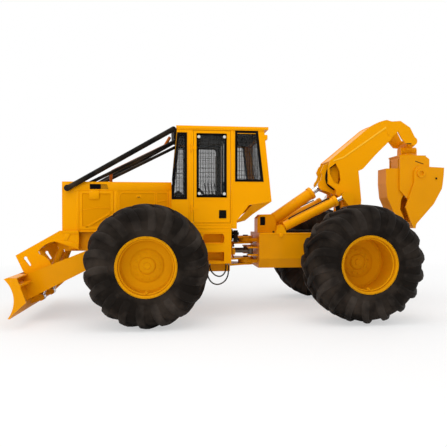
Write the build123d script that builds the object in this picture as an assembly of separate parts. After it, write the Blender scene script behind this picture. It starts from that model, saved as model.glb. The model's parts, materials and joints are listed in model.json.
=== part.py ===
"""Articulated forestry skidder with a dozer blade and a log grapple on a tilting arch.

Millimetres.  The shapes are laid out from a point on the ground under the articulation
pins, and main() then moves them by ORIGIN_SHIFT, so that the origin is on the ground under
the middle of the whole machine's outer box.  +X points to the rear, +Y to the machine's
right-hand side and +Z up.  The machine stands straight, with
the blade carried clear of the ground and the grapple hanging plumb and almost closed.
"""
import math
import os

from build123d import *

# ---------------------------------------------------------------- overall layout
WHEELBASE = 3250.0
TRACK = 2280.0               # between the centre planes of the left and right wheels
TYRE_RADIUS = 900.0
TYRE_WIDTH = 775.0
TYRE_WALL = 38.0
BEAD_RADIUS = 406.0          # seat of the tyre on the rim
FLANGE_RADIUS = 433.0
RIM_WIDTH = 700.0
RIM_WALL = 12.0
DISC_WALL = 20.0
FRONT_DISC_DEPTH = 270.0     # wheel disc below the rim's outer edge
REAR_DISC_DEPTH = 500.0
HUB_RADIUS = 165.0
SPINDLE_RADIUS = 95.0

FRONT_X = -WHEELBASE / 2     # front axle
REAR_X = WHEELBASE / 2       # rear axle
AXLE_Z = TYRE_RADIUS
WHEEL_Y = TRACK / 2
TYRE_INNER_Y = WHEEL_Y - TYRE_WIDTH / 2

MOVE_GAP = 6.0               # between pieces that move past each other
ROD_SHOWING = 36.0           # rod between the barrel and its eye when a cylinder is closed
ROD_END_GAP = 30.0           # behind the rod's inner end when a cylinder is closed
SIDE_GAP = 0.4               # beside an eye between its lugs
BORE_GAP = 0.08              # round a pin in its bore
SEAM = 5.0                   # between a loose panel and its frame

# ---------------------------------------------------------------- front frame and axle
RAIL_Y = 480.0               # outer face of the frame rails
RAIL_WALL = 40.0
RAIL_TOP = 1370.0
RAIL_BOTTOM = 1070.0
RAIL_FRONT = FRONT_X - 1335.0
RAIL_REAR = -330.0
BELLY_BOTTOM = 735.0
AXLE_TUBE_RADIUS = 125.0
AXLE_BOWL_RADIUS = 230.0
AXLE_FLANGE_RADIUS = 190.0

# ---------------------------------------------------------------- free hoses under the left step
STEP_BOTTOM = 868.0
HOSE_RADIUS = 11.0
OUTER_HOSE_Y = -620.0
INNER_HOSE_Y = -560.0
# points of each route: X from the front axle, Z
OUTER_HOSE = [(1256, 832), (1256, 765), (1248, 655), (1190, 562), (1085, 515), (985, 548),
              (925, 640), (910, 750), (910, 832)]
INNER_HOSE = [(1222, 832), (1222, 775), (1205, 700), (1140, 640), (1055, 655), (990, 715),
              (958, 778), (958, 832)]

# ---------------------------------------------------------------- articulation
HINGE_RADIUS = 130.0         # round end of the hinge plates
HINGE_PIN_RADIUS = 45.0
HINGE_LEVELS = (850.0, 1215.0)   # middle height of the lower and upper hinge
HINGE_LUG = 60.0
HINGE_PLATE = 30.0
STEER_LIMIT = 45.0
STEER_Z = 1030.0
STEER_BASE = (-860.0, 300.0)
STEER_EYE = (45.0, 255.0)

# ---------------------------------------------------------------- hood
HOOD_Y = 560.0
HOOD_WALL = 12.0
HOOD_TOP = 2160.0
HOOD_BOTTOM = RAIL_TOP
HOOD_FRONT = FRONT_X - 1350.0
PANEL_TOP = 2020.0
GUARD_REAR = FRONT_X - 1090.0    # rear edge of the plain front section
PANEL_SEAM = FRONT_X - 530.0
DIVIDER = 60.0                   # posts behind the panel seams

# ---------------------------------------------------------------- cab
CAB_Y = 740.0
CAB_WALL = 40.0
CAB_FRONT = FRONT_X + 345.0
CAB_FRONT_TOP = FRONT_X + 435.0
CAB_FLOOR = 1420.0
CAB_TOP = 2990.0
CAB_REAR = FRONT_X + 1935.0
CAB_REAR_TOP = FRONT_X + 1812.0
CAB_FOOT_REAR = FRONT_X + 1375.0
ROOF_THICK = 42.0
ROOF_OVERHANG = 14.0
DOOR_FRONT = FRONT_X + 695.0
DOOR_REAR = FRONT_X + 1270.0
DOOR_BOTTOM = 1514.0
DOOR_TOP = 2960.0
DOOR_THICK = 26.0
DOOR_LIMIT = 85.0
GLASS = 8.0
HINGE_SETBACK = 42.0             # door hinge axis ahead of the door's edge
KNUCKLE_RADIUS = 11.0

# ---------------------------------------------------------------- risers and pipe
RISER_RADIUS = 41.0
INNER_RISER_RADIUS = 27.0
INNER_RISER_Y = 330.0
PIPE_RADIUS = 25.0

# ---------------------------------------------------------------- blade
BLADE_HALF = 1200.0
BLADE_PIVOT = (FRONT_X - 350.0, 1180.0)
BLADE_UP = 4.0
BLADE_DOWN = -11.0
ARM_INNER_Y = 622.0
ARM_WALL = 76.0
NOSE_Y = 600.0
NOSE_WALL = 25.0
ARM_PIN_RADIUS = 40.0
BLADE_CYL_Y = 300.0
BLADE_CYL_TOP = (FRONT_X - 1400.0, 1150.0)
BLADE_CYL_EYE = (FRONT_X - 1730.0, 320.0)

# ---------------------------------------------------------------- rear frame and arch
REAR_FRAME_Y = 450.0
REAR_FRAME_WALL = 30.0
REAR_FRAME_FRONT = 165.0
REAR_DECK = 1340.0
REAR_EDGE = 914.0                # where the side plate bends inwards
REAR_BOTTOM = 754.0
TAIL = REAR_X + 420.0
DECK_PAD = (760.0, 1160.0, 180.0)     # raised seat on the deck: its X span and half width
PAD_TOP = REAR_DECK + 10.0
TIE_DOWN = (310.0, 1000.0)            # round holes in the tail plate: Y and Z
TIE_DOWN_RADIUS = 24.0
ARCH_PIVOT = (REAR_X + 200.0, AXLE_Z + 290.0)
ARCH_BACK = 43.0
ARCH_FORWARD = -5.0
ARCH_Y = 250.0
ARCH_WALL = 30.0
ARCH_PIN_RADIUS = 55.0
TIP_PIN = (ARCH_PIVOT[0] + 1135.0, ARCH_PIVOT[1] + 1740.0)
LIFT_Y = 395.0
LIFT_BASE = (530.0, 1415.0)
LIFT_EYE = (REAR_X + 20.0, ARCH_PIVOT[1] + 770.0)
CENTRE_BASE = (400.0, 1500.0)
CENTRE_EYE = (REAR_X - 260.0, ARCH_PIVOT[1] + 970.0)

# ---------------------------------------------------------------- grapple
GRAPPLE_X = TIP_PIN[0]
FRONT_REACH = 2037            # from the front axle to the blade's foremost edge
REAR_REACH = 573              # from the grapple's middle to the rear tong's outermost point
ORIGIN_SHIFT = -(FRONT_X - FRONT_REACH + GRAPPLE_X + REAR_REACH) / 2   # centres the outer box
LINK_DROP = 130.0                # tip pin to the cross pin below it
HEAD_TOP = TIP_PIN[1] - 230.0
HEAD_FRONT = -236.0              # from the middle of the grapple
HEAD_REAR = 316.0
HEAD_Y = 200.0
HEAD_WALL = 28.0
TONG_PIVOT = (140.0, HEAD_TOP - 320.0)    # offset from the middle, and height
TONG_PIN = (330.0, HEAD_TOP - 680.0)
TONG_OPEN = 38.0
TONG_SHUT = -1.0
FRONT_TONG_Y = 165.0             # the front tong turns between the head's side plates
REAR_TONG_Y = 234.0              # the rear tong turns outside them
TONG_WALL = 28.0


# ================================================================ helpers
def block(x_from, x_to, y_from, y_to, z_from, z_to):
    """A box between two corners."""
    corner = Plane(origin=(x_from, y_from, z_from))
    return Solid.make_box(x_to - x_from, y_to - y_from, z_to - z_from, corner)


def rod(start, end, radius):
    """A cylinder from one point to another."""
    run = Vector(*end) - Vector(*start)
    return Solid.make_cylinder(radius, run.length, Plane(origin=start, z_dir=run))


def cross_rod(x, z, y_from, y_to, radius):
    """A cylinder across the machine."""
    return rod((x, y_from, z), (x, y_to, z), radius)


def loop(rows, place):
    """A closed wire.  A row (u, v) ends a line, (u_mid, v_mid, u, v) ends an arc."""
    points = [Vector(*place(*row[-2:])) for row in rows]
    edges = []
    for start, end, row in zip(points, points[1:], rows[1:]):
        if len(row) == 4:
            edges.append(Edge.make_three_point_arc(start, Vector(*place(*row[:2])), end))
        else:
            edges.append(Edge.make_line(start, end))
    if (points[-1] - points[0]).length > 1e-6:
        edges.append(Edge.make_line(points[-1], points[0]))
    return Wire(edges)


def side_plate(rows, y_from, y_to):
    """An outline in X and Z, as thick as y_from to y_to."""
    wire = loop(rows, lambda x, z: (x, y_from, z))
    return Solid.extrude(Face(wire), Vector(0, y_to - y_from, 0))


def plan_plate(rows, z_from, z_to):
    """An outline in X and Y, as thick as z_from to z_to."""
    wire = loop(rows, lambda x, y: (x, y, z_from))
    return Solid.extrude(Face(wire), Vector(0, 0, z_to - z_from))


def turned(rows, x, z, y_origin, outward):
    """A ring about a crosswise axis.  Rows are (offset along the axis, radius)."""
    wire = loop(rows, lambda along, radius: (x, y_origin + outward * along, z + radius))
    return Solid.revolve(Face(wire), 360, Axis((x, y_origin, z), (0, 1, 0)))


def both(shape):
    """A shape and its mirror image on the machine's other side."""
    return [shape, mirror(shape, about=Plane.XZ)]


def joined(*shapes):
    """All shapes as one piece."""
    flat = []
    for shape in shapes:
        flat.extend(shape if isinstance(shape, (list, tuple)) else [shape])
    result = flat[0]
    for shape in flat[1:]:
        result = result + shape
    return result


def cut(shape, *tools):
    """A shape less its cutters."""
    for tool in tools:
        for one in (tool if isinstance(tool, (list, tuple)) else [tool]):
            shape = shape - one
    return shape


def along(start, end, distance):
    """The point that lies a distance from start on the way to end, in X and Z."""
    length = math.dist(start, end)
    return tuple(a + (b - a) * distance / length for a, b in zip(start, end))


# ================================================================ wheels
def tyre(x, side):
    """A hollow tyre with its bead, sidewalls, shoulders and crown."""
    half = TYRE_WIDTH / 2
    seat = RIM_WIDTH / 2 - RIM_WALL - 1
    crown, shoulder, wall = TYRE_RADIUS, TYRE_RADIUS - 42, TYRE_WALL
    rows = [
        (-seat, BEAD_RADIUS),
        (-seat, FLANGE_RADIUS + 6),
        (-half, 640, -half + 25, 780),
        (-half + 70, shoulder),
        (0, crown, half - 70, shoulder),
        (half - 25, 780),
        (half, 640, seat, FLANGE_RADIUS + 6),
        (seat, BEAD_RADIUS),
        (seat - wall, BEAD_RADIUS),
        (half - wall, 640, half - 60 - wall, 785),
        (0, crown - 65, -half + 60 + wall, 785),
        (-half + wall, 640, -seat + wall, BEAD_RADIUS),
    ]
    return turned(rows, x, AXLE_Z, side * WHEEL_Y, side)


def rim(x, side, disc_depth):
    """Rim barrel with two flanges, wheel disc and hub with its bore."""
    half = RIM_WIDTH / 2
    disc = half - disc_depth
    inner = BEAD_RADIUS - RIM_WALL
    hub_in = -half + 70
    rows = [
        (hub_in, SPINDLE_RADIUS + BORE_GAP),
        (disc - 70, SPINDLE_RADIUS + BORE_GAP),
        (disc - 70, 0),
        (disc, 0),
        (disc, HUB_RADIUS + 90),
        (disc + 35, inner - 40),
        (disc + 35, inner),
        (half - 20, inner + 4),
        (half, FLANGE_RADIUS - RIM_WALL),
        (half, FLANGE_RADIUS),
        (half - RIM_WALL, FLANGE_RADIUS),
        (half - RIM_WALL, BEAD_RADIUS),
        (-half + RIM_WALL, BEAD_RADIUS),
        (-half + RIM_WALL, FLANGE_RADIUS),
        (-half, FLANGE_RADIUS),
        (-half, inner),
        (disc + 35 - DISC_WALL, inner),
        (disc + 35 - DISC_WALL, inner - 32),
        (disc - DISC_WALL, HUB_RADIUS + 84),
        (disc - DISC_WALL, HUB_RADIUS),
        (hub_in, HUB_RADIUS),
    ]
    return turned(rows, x, AXLE_Z, side * WHEEL_Y, side)


def axle(x, disc_depth):
    """Axle housing with its differential bowl, end flanges and wheel spindles."""
    half = RIM_WIDTH / 2
    hub_face = WHEEL_Y - half + 70 - MOVE_GAP
    spindle_end = WHEEL_Y + half - disc_depth - 70 - MOVE_GAP
    rows = [
        (0, 0), (0, AXLE_BOWL_RADIUS), (90, AXLE_BOWL_RADIUS - 18), (230, AXLE_TUBE_RADIUS),
        (hub_face - 60, AXLE_TUBE_RADIUS), (hub_face - 45, AXLE_FLANGE_RADIUS),
        (hub_face, AXLE_FLANGE_RADIUS), (hub_face, SPINDLE_RADIUS),
        (spindle_end, SPINDLE_RADIUS), (spindle_end, 0),
    ]
    return joined([turned(rows, x, AXLE_Z, 0, side) for side in (1, -1)])


# ================================================================ front frame
def hinge_tongue(x_root, half_root, level, thick):
    """A flat hinge plate with a round end about the articulation axis."""
    rows = [
        (x_root, -half_root),
        (-HINGE_RADIUS * 0.2 if x_root < 0 else HINGE_RADIUS * 0.2, -HINGE_RADIUS * 0.98),
        (HINGE_RADIUS if x_root < 0 else -HINGE_RADIUS, 0,
         -HINGE_RADIUS * 0.2 if x_root < 0 else HINGE_RADIUS * 0.2, HINGE_RADIUS * 0.98),
        (x_root, half_root),
    ]
    return plan_plate(rows, level - thick / 2, level + thick / 2)


def front_frame():
    """Two rails, cross plates, the hinge forks and the axle saddle."""
    rail = block(RAIL_FRONT, RAIL_REAR, RAIL_Y - RAIL_WALL, RAIL_Y, RAIL_BOTTOM, RAIL_TOP)
    low_rail = side_plate([
        (FRONT_X + 500, RAIL_BOTTOM + 1), (FRONT_X + 640, BELLY_BOTTOM),
        (RAIL_REAR, BELLY_BOTTOM), (RAIL_REAR, RAIL_BOTTOM + 1)], RAIL_Y - RAIL_WALL, RAIL_Y)
    inner = RAIL_Y - RAIL_WALL
    pieces = both(rail) + both(low_rail)
    for x in (RAIL_FRONT, FRONT_X - 640, FRONT_X + 420):
        pieces.append(block(x, x + 40, -inner, inner, RAIL_BOTTOM + 20, RAIL_TOP - 20))
    # end plate with a gap in the middle where the steering cylinders pass
    pieces.append(block(RAIL_REAR - 40, RAIL_REAR, -inner, inner, 1120, RAIL_TOP - 40))
    pieces.append(block(RAIL_REAR - 40, RAIL_REAR, -inner, inner, BELLY_BOTTOM, 940))
    reach = HINGE_LUG / 2 + SEAM + HINGE_PLATE / 2
    for level in HINGE_LEVELS:
        for step in (-reach, reach):
            pieces.append(hinge_tongue(RAIL_REAR - 5, 300, level + step, HINGE_PLATE))
    saddle = side_plate([
        (FRONT_X - 200, RAIL_BOTTOM), (FRONT_X - 150, AXLE_Z + 60), (FRONT_X + 150, AXLE_Z + 60),
        (FRONT_X + 200, RAIL_BOTTOM)], 380, RAIL_Y)
    pieces += both(saddle)
    for side in (1, -1):
        # ears that hold the barrels of the steering cylinders
        for level in (STEER_Z - 62, STEER_Z + 62):
            pieces.append(block(STEER_BASE[0] - 55, STEER_BASE[0] + 55,
                                min(side * (STEER_BASE[1] - 55), side * inner),
                                max(side * (STEER_BASE[1] - 55), side * inner),
                                level - 12, level + 12))
        pieces.append(rod((STEER_BASE[0], side * STEER_BASE[1], STEER_Z - 62),
                          (STEER_BASE[0], side * STEER_BASE[1], STEER_Z + 62), 22))
    frame = joined(pieces)
    bores = [rod((0, 0, level - 90), (0, 0, level + 90), HINGE_PIN_RADIUS)
             for level in HINGE_LEVELS]
    wheel_tube = turned([(0, 0), (0, AXLE_BOWL_RADIUS + 4), (90, AXLE_BOWL_RADIUS - 14),
                         (230, AXLE_TUBE_RADIUS), (600, AXLE_TUBE_RADIUS), (600, 0)],
                        FRONT_X, AXLE_Z, 0, 1)
    return cut(frame, bores, both(wheel_tube))


def hinge_pins():
    """The two upright articulation pins, held in the front frame's forks."""
    half = HINGE_LUG / 2 + SEAM + HINGE_PLATE
    return [rod((0, 0, level - half), (0, 0, level + half + 18), HINGE_PIN_RADIUS)
            for level in HINGE_LEVELS]


def nose():
    """The frame's front end: two side plates with an arched cut-out and a sloping top."""
    x = FRONT_X
    rows = [
        (x - 1340, 1395), (x - 1374, 1395), (x - 2037, 1013), (x - 1916, 750),
        (x - 1800, 705), (x - 1640, 790), (x - 1505, 854), (x - 1565, 961, x - 1678, 1026),
        (x - 1702, 1069), (x - 1615, 1164, x - 1451, 1226), (x - 1090, 1096),
        (x - 1090, 1395)]
    plate = side_plate(rows, NOSE_Y - NOSE_WALL, NOSE_Y)
    teardrop = side_plate([
        (x - 1902, 944), (x - 1886, 997, x - 1861, 965), (x - 1808, 872),
        (x - 1822, 850, x - 1842, 862)], NOSE_Y - NOSE_WALL - 5, NOSE_Y + 5)
    plate = cut(plate, teardrop)
    top = side_plate([
        (x - 1384, 1389), (x - 2025, 1020), (x - 2012, 998), (x - 1371, 1367)],
        -NOSE_Y + NOSE_WALL, NOSE_Y - NOSE_WALL)
    spacer = block(x - 1250, x - 1095, RAIL_Y, NOSE_Y - NOSE_WALL, 1110, 1340)
    cyl_x, cyl_z = BLADE_CYL_TOP
    hanger = side_plate([
        (cyl_x - 64, cyl_z - 20), (cyl_x, cyl_z - 72, cyl_x + 64, cyl_z - 20),
        (RAIL_FRONT, 1362), (x - 1405, 1362), (cyl_x - 64, 1322)], -12, 12)
    ears = []
    for side in (1, -1):
        for step in (-55, 55):
            ears.append(hanger.moved(Location((0, side * BLADE_CYL_Y + step, 0))))
        ears.append(cross_rod(cyl_x, cyl_z, side * BLADE_CYL_Y - 62, side * BLADE_CYL_Y + 62, 25))
    return joined(both(plate), both(spacer), top, ears)


# ================================================================ hood
def hood():
    """Top sheet with its side strips, the front section and the posts behind the seams."""
    rear = CAB_FRONT
    outer = block(HOOD_FRONT, rear, -HOOD_Y, HOOD_Y, HOOD_BOTTOM, HOOD_TOP)
    inner = block(HOOD_FRONT - 5, rear + 5, -HOOD_Y + HOOD_WALL, HOOD_Y - HOOD_WALL,
                  HOOD_BOTTOM - 5, HOOD_TOP - HOOD_WALL)
    shell = outer - inner
    side_holes = [
        (GUARD_REAR, PANEL_SEAM - DIVIDER / 2, HOOD_BOTTOM + 40, PANEL_TOP),
        (PANEL_SEAM + DIVIDER / 2, rear - 40, HOOD_BOTTOM + 40, PANEL_TOP),
    ]
    for x_from, x_to, z_from, z_to in side_holes:
        shell = shell - block(x_from, x_to, -HOOD_Y - 5, HOOD_Y + 5, z_from, z_to)
    return shell


def hood_panels(side):
    """The two lift-off panels on one side, seated in the hood's openings."""
    pieces = []
    spans = [(GUARD_REAR, PANEL_SEAM - DIVIDER / 2), (PANEL_SEAM + DIVIDER / 2, CAB_FRONT - 40)]
    for x_from, x_to in spans:
        skin = block(x_from, x_to, HOOD_Y - HOOD_WALL, HOOD_Y, HOOD_BOTTOM + 40, PANEL_TOP)
        pieces.append(skin)
    if side < 0:
        pieces = [mirror(piece, about=Plane.XZ) for piece in pieces]
    return pieces


def grille():
    """Radiator guard in the hood's open front: a frame with upright bars."""
    wall = 30
    x_from, x_to = HOOD_FRONT, HOOD_FRONT + wall
    y = HOOD_Y - HOOD_WALL
    outer = block(x_from, x_to, -y, y, HOOD_BOTTOM, HOOD_TOP - HOOD_WALL)
    hole = block(x_from - 5, x_to + 5, -y + 70, y - 70, HOOD_BOTTOM + 80, HOOD_TOP - 90)
    frame = outer - hole
    bars = [block(x_from + 5, x_to - 5, middle - 9, middle + 9, HOOD_BOTTOM + 70, HOOD_TOP - 80)
            for middle in [-y + 70 + (step + 1) * (2 * y - 140) / 15 for step in range(14)]]
    return joined(frame, bars)


def engine():
    """The engine as one plain block at its real place, on its two cross bearers."""
    return block(FRONT_X - 900, FRONT_X + 150, -280, 280, RAIL_TOP - 20, 2060)


# ================================================================ cab
def cab_outline():
    """Side outline of the cab below its roof."""
    return [
        (CAB_FRONT, CAB_FLOOR), (CAB_FRONT, 2000), (CAB_FRONT_TOP, CAB_TOP),
        (CAB_REAR_TOP, CAB_TOP), (CAB_REAR, 1855), (CAB_REAR - 365, 1795),
        (CAB_FOOT_REAR, 1545), (CAB_FOOT_REAR, CAB_FLOOR)]


FRONT_WINDOW = [(FRONT_X + 392, 1888), (FRONT_X + 590, 1888), (FRONT_X + 590, 2925),
                (FRONT_X + 462, 2925), (FRONT_X + 380, 2110)]
REAR_WINDOW = [(FRONT_X + 1350, 2170), (FRONT_X + 1800, 2170), (FRONT_X + 1715, 2925),
               (FRONT_X + 1350, 2925)]
DOOR_WINDOW = (FRONT_X + 738, FRONT_X + 1213, 1925.0, 2918.0)


def cab_envelope():
    """The space that the cab fills below its roof."""
    return side_plate(cab_outline(), -CAB_Y, CAB_Y)


def cab_shell():
    """Welded cab: side walls with their window and door cut-outs, front, rear and floor."""
    outer = cab_envelope()
    core_face = Face(loop(cab_outline(), lambda x, z: (x, -CAB_Y + CAB_WALL, z)))
    core_wire = core_face.outer_wire().offset_2d(-CAB_WALL, kind=Kind.INTERSECTION)
    core = Solid.extrude(Face(core_wire), Vector(0, 2 * (CAB_Y - CAB_WALL), 0))
    shell = outer - core
    side_holes = [side_plate(rows, -CAB_Y - 5, CAB_Y + 5) for rows in (FRONT_WINDOW, REAR_WINDOW)]
    side_holes.append(block(DOOR_FRONT - SEAM, DOOR_REAR + SEAM, -CAB_Y - 5, CAB_Y + 5,
                            DOOR_BOTTOM - SEAM, DOOR_TOP + SEAM))
    windscreen = block(CAB_FRONT - 200, CAB_FRONT + 300, -CAB_Y + 110, CAB_Y - 110,
                       HOOD_TOP + 60, CAB_TOP - 80)
    rear_screen = block(CAB_REAR - 300, CAB_REAR + 100, -CAB_Y + 110, CAB_Y - 110,
                        2130, CAB_TOP - 80)
    return cut(shell, side_holes, windscreen, rear_screen)


def cab_roof():
    """Roof slab with its overhang and a downturned rim."""
    front, rear = CAB_FRONT_TOP - ROOF_OVERHANG, CAB_REAR_TOP + 66
    edge = CAB_Y + ROOF_OVERHANG
    return block(front, rear, -edge, edge, CAB_TOP, CAB_TOP + ROOF_THICK)


def cab_windows():
    """Fixed panes: two front quarters, two rear quarters, windscreen and rear screen."""
    panes = []
    for rows in (FRONT_WINDOW, REAR_WINDOW):
        panes += both(side_plate(rows, CAB_Y - 24, CAB_Y - 24 + GLASS))
    lean = (CAB_FRONT_TOP - CAB_FRONT) / (CAB_TOP - 2000)
    low, high = HOOD_TOP + 60, CAB_TOP - 80
    base = CAB_FRONT + 16

    def sheet(x_low, x_high, z_low, z_high):
        return side_plate([(x_low, z_low), (x_low + GLASS, z_low), (x_high + GLASS, z_high),
                           (x_high, z_high)], -CAB_Y + 110, CAB_Y - 110)

    panes.append(sheet(base + lean * (low - 2000), base + lean * (high - 2000), low, high))
    lean = (CAB_REAR_TOP - CAB_REAR) / (CAB_TOP - 1855)
    base = CAB_REAR - 26
    panes.append(sheet(base + lean * (2130 - 1855), base + lean * (high - 1855), 2130, high))
    return panes


def door(side):
    """Cab door with its window cut-out, and the straps that reach to its hinge axis."""
    outer_y = CAB_Y
    inner_y = CAB_Y - DOOR_THICK
    x_from, x_to, z_from, z_to = DOOR_WINDOW
    skin = block(DOOR_FRONT, DOOR_REAR, inner_y, outer_y, DOOR_BOTTOM, DOOR_TOP)
    skin = skin - block(x_from, x_to, inner_y - 5, outer_y + 5, z_from, z_to)
    axis_x, axis_y = door_axis()
    pieces = [skin]
    for level in (1740, 2690):
        pieces.append(block(axis_x, DOOR_FRONT + 60, outer_y, outer_y + 6, level - 22, level + 22))
        pieces.append(rod((axis_x, axis_y, level - 22), (axis_x, axis_y, level + 22),
                          KNUCKLE_RADIUS))
    leaf = joined(pieces)
    return leaf if side > 0 else mirror(leaf, about=Plane.XZ)


def door_axis():
    """The right-hand door's hinge axis, in X and Y."""
    return DOOR_FRONT - HINGE_SETBACK, CAB_Y + KNUCKLE_RADIUS + 1


def door_hinge_posts():
    """The knuckles on the cab that carry the doors, above and below each door knuckle."""
    axis_x, axis_y = door_axis()
    posts = []
    for level in (1740, 2690):
        for low, high in ((-60, -23), (23, 60)):
            knuckle = rod((axis_x, axis_y, level + low), (axis_x, axis_y, level + high),
                          KNUCKLE_RADIUS)
            leaf = block(axis_x - 40, axis_x, CAB_Y, CAB_Y + 6, level + low, level + high)
            posts += both(joined(knuckle, leaf))
    return posts


def door_glass(side):
    """The pane in a door."""
    x_from, x_to, z_from, z_to = DOOR_WINDOW
    middle = CAB_Y - DOOR_THICK / 2
    pane = block(x_from, x_to, middle - GLASS / 2, middle + GLASS / 2, z_from, z_to)
    return pane if side > 0 else mirror(pane, about=Plane.XZ)


def seat():
    """Operator's seat: pedestal, cushion and back."""
    x, top = FRONT_X + 1120, CAB_FLOOR + CAB_WALL
    pedestal = block(x - 180, x + 180, -170, 170, top, top + 330)
    cushion = block(x - 260, x + 230, -250, 250, top + 330, top + 440)
    back = side_plate([
        (x + 130, top + 440), (x + 230, top + 440), (x + 330, top + 1010), (x + 270, top + 1030),
        (x + 200, top + 1000)], -240, 240)
    return joined(pedestal, cushion, back)


def console():
    """Dashboard, steering column and wheel, and a lever console at the operator's right."""
    top = CAB_FLOOR + CAB_WALL
    dash = side_plate([
        (CAB_FRONT + CAB_WALL, top), (CAB_FRONT + 250, top), (CAB_FRONT + 220, 1950),
        (CAB_FRONT + 110, 2040), (CAB_FRONT + CAB_WALL, 1985)], -420, 420)
    foot = (CAB_FRONT + 190, 0, 1880)
    wheel_centre = (CAB_FRONT + 400, 0, 2130)
    column = rod(foot, wheel_centre, 30)
    plane = Plane(origin=wheel_centre, z_dir=Vector(*wheel_centre) - Vector(*foot))
    wheel = plane.location * Solid.make_torus(190, 16)
    spokes = [plane.location * Location((0, 0, 0), (0, 0, turn)) * block(-190, 190, -14, 14, -6, 6)
              for turn in (0, 60, 120)]
    side_box = block(CAB_FRONT + 560, CAB_FRONT + 975, 330, 480, top, top + 560)
    levers = [rod((CAB_FRONT + 620 + step * 60, 400, top + 540),
                  (CAB_FRONT + 590 + step * 60, 390, top + 760), 9) for step in range(4)]
    return [joined(dash, column, wheel, spokes), joined(side_box, levers)]


def step_box(side):
    """Side tank with two step recesses, between the rail and the outer side of the cab."""
    x_from, x_to = FRONT_X + 640, FRONT_X + 1288
    inner, outer = RAIL_Y, CAB_Y
    body = block(x_from, x_to, inner, outer, STEP_BOTTOM, CAB_FLOOR)
    depth = 150
    upper = block(FRONT_X + 842, FRONT_X + 1172, outer - depth, outer + 5, 1193, 1338)
    upper = fillet(upper.edges().filter_by(Axis.Y), 40)
    lower = block(FRONT_X + 842, FRONT_X + 1172, outer - depth, outer + 5, 907, 1052)
    lower = fillet(lower.edges().filter_by(Axis.Y), 18)
    body = body - upper - lower
    return body if side > 0 else mirror(body, about=Plane.XZ)


def belly_pan():
    """Plate under the front frame."""
    inner = RAIL_Y
    return block(FRONT_X + 640, RAIL_REAR, -inner, inner, BELLY_BOTTOM - 16, BELLY_BOTTOM)


# ================================================================ risers and pipe
def risers():
    """Limb risers: an outer pair joined by a bar under the roof's edge, and an inner pair."""
    head_x = CAB_FRONT_TOP - ROOF_OVERHANG - RISER_RADIUS - SIDE_GAP
    head_z = CAB_TOP + 8
    foot_x, foot_z = HOOD_FRONT + 98, HOOD_TOP - 105
    foot_y, head_y = HOOD_Y + RISER_RADIUS + 6, CAB_Y - 110
    tubes = [rod((head_x, -head_y, head_z), (head_x, head_y, head_z), RISER_RADIUS)]
    for side in (1, -1):
        tubes.append(rod((foot_x, side * foot_y, foot_z), (head_x, side * head_y, head_z),
                         RISER_RADIUS))
        tubes.append(block(foot_x - 34, foot_x + 34, *sorted((side * HOOD_Y, side * foot_y)),
                           foot_z - 34, foot_z + 34))
        for y in (-head_y, 0, head_y):
            tubes.append(block(head_x, CAB_FRONT_TOP, y - 30, y + 30, CAB_TOP - 45, CAB_TOP - 6))
    pair = joined(tubes) - cab_envelope()
    under_hood = block(HOOD_FRONT, CAB_FRONT, -HOOD_Y, HOOD_Y, HOOD_TOP - 300, HOOD_TOP)
    inner = [cut(rod((FRONT_X - 990, side * INNER_RISER_Y, HOOD_TOP - 14),
                     (CAB_FRONT_TOP, side * INNER_RISER_Y, 2870), INNER_RISER_RADIUS),
                 under_hood, cab_envelope()) for side in (1, -1)]
    return [pair] + inner


def exhaust():
    """Thin pipe that rises from the hood beside a riser and bends up below the roof."""
    path = FilletPolyline(
        (FRONT_X - 650, -200, HOOD_TOP), (FRONT_X - 650, -200, HOOD_TOP + 190),
        (CAB_FRONT_TOP - 200, -240, 2790), (CAB_FRONT_TOP - 115, -240, 2935), radius=70)
    return sweep(Plane(origin=path @ 0, z_dir=path % 0) * Circle(PIPE_RADIUS), path)


# ================================================================ blade
BOARD_ROWS = [(-1998, 727), (-1866, 440, -1948, 165), (-1924, 158), (-1838, 440, -1973, 740)]


def from_front_axle(rows):
    """Rows of an outline whose X is given from the front axle."""
    return [tuple(value + FRONT_X if index % 2 == 0 else value
                  for index, value in enumerate(row)) for row in rows]


def blade():
    """Curved moldboard with end plates, and the ears for the lift cylinders' rods."""
    board = side_plate(from_front_axle(BOARD_ROWS), -BLADE_HALF, BLADE_HALF)
    cheek = side_plate(from_front_axle(
        [(-1998, 727), (-1866, 440, -1948, 165), (-1698, 391), (-1826, 743)]),
        BLADE_HALF - 25, BLADE_HALF)
    eye_x, eye_z = BLADE_CYL_EYE
    ears = []
    for side in (1, -1):
        for low, high in ((-43 - SEAM - 20, -43 - SEAM), (43 + SEAM, 43 + SEAM + 20)):
            y = side * BLADE_CYL_Y
            ears.append(side_plate([
                (eye_x - 190, eye_z + 95), (eye_x - 20, eye_z + 50),
                (eye_x + 50, eye_z, eye_x - 20, eye_z - 50), (eye_x - 170, eye_z - 95)],
                y + low, y + high))
    in_front = side_plate(from_front_axle(
        [(-1998, 727), (-1866, 440, -1948, 165), (-2200, 165), (-2200, 727)]), -600, 600)
    arm_outer = ARM_INNER_Y + ARM_WALL
    top_rib = side_plate(from_front_axle(
        [(-1985, 730), (-1830, 722), (-1826, 743), (-1973, 740)]), arm_outer, BLADE_HALF - 5)
    mid_rib = side_plate(from_front_axle(
        [(-1900, 612), (-1772, 612), (-1772, 638), (-1900, 638)]), arm_outer, BLADE_HALF - 5)
    return joined(board, both(cheek), both(top_rib), both(mid_rib),
                  [ear - in_front for ear in ears])


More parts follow.
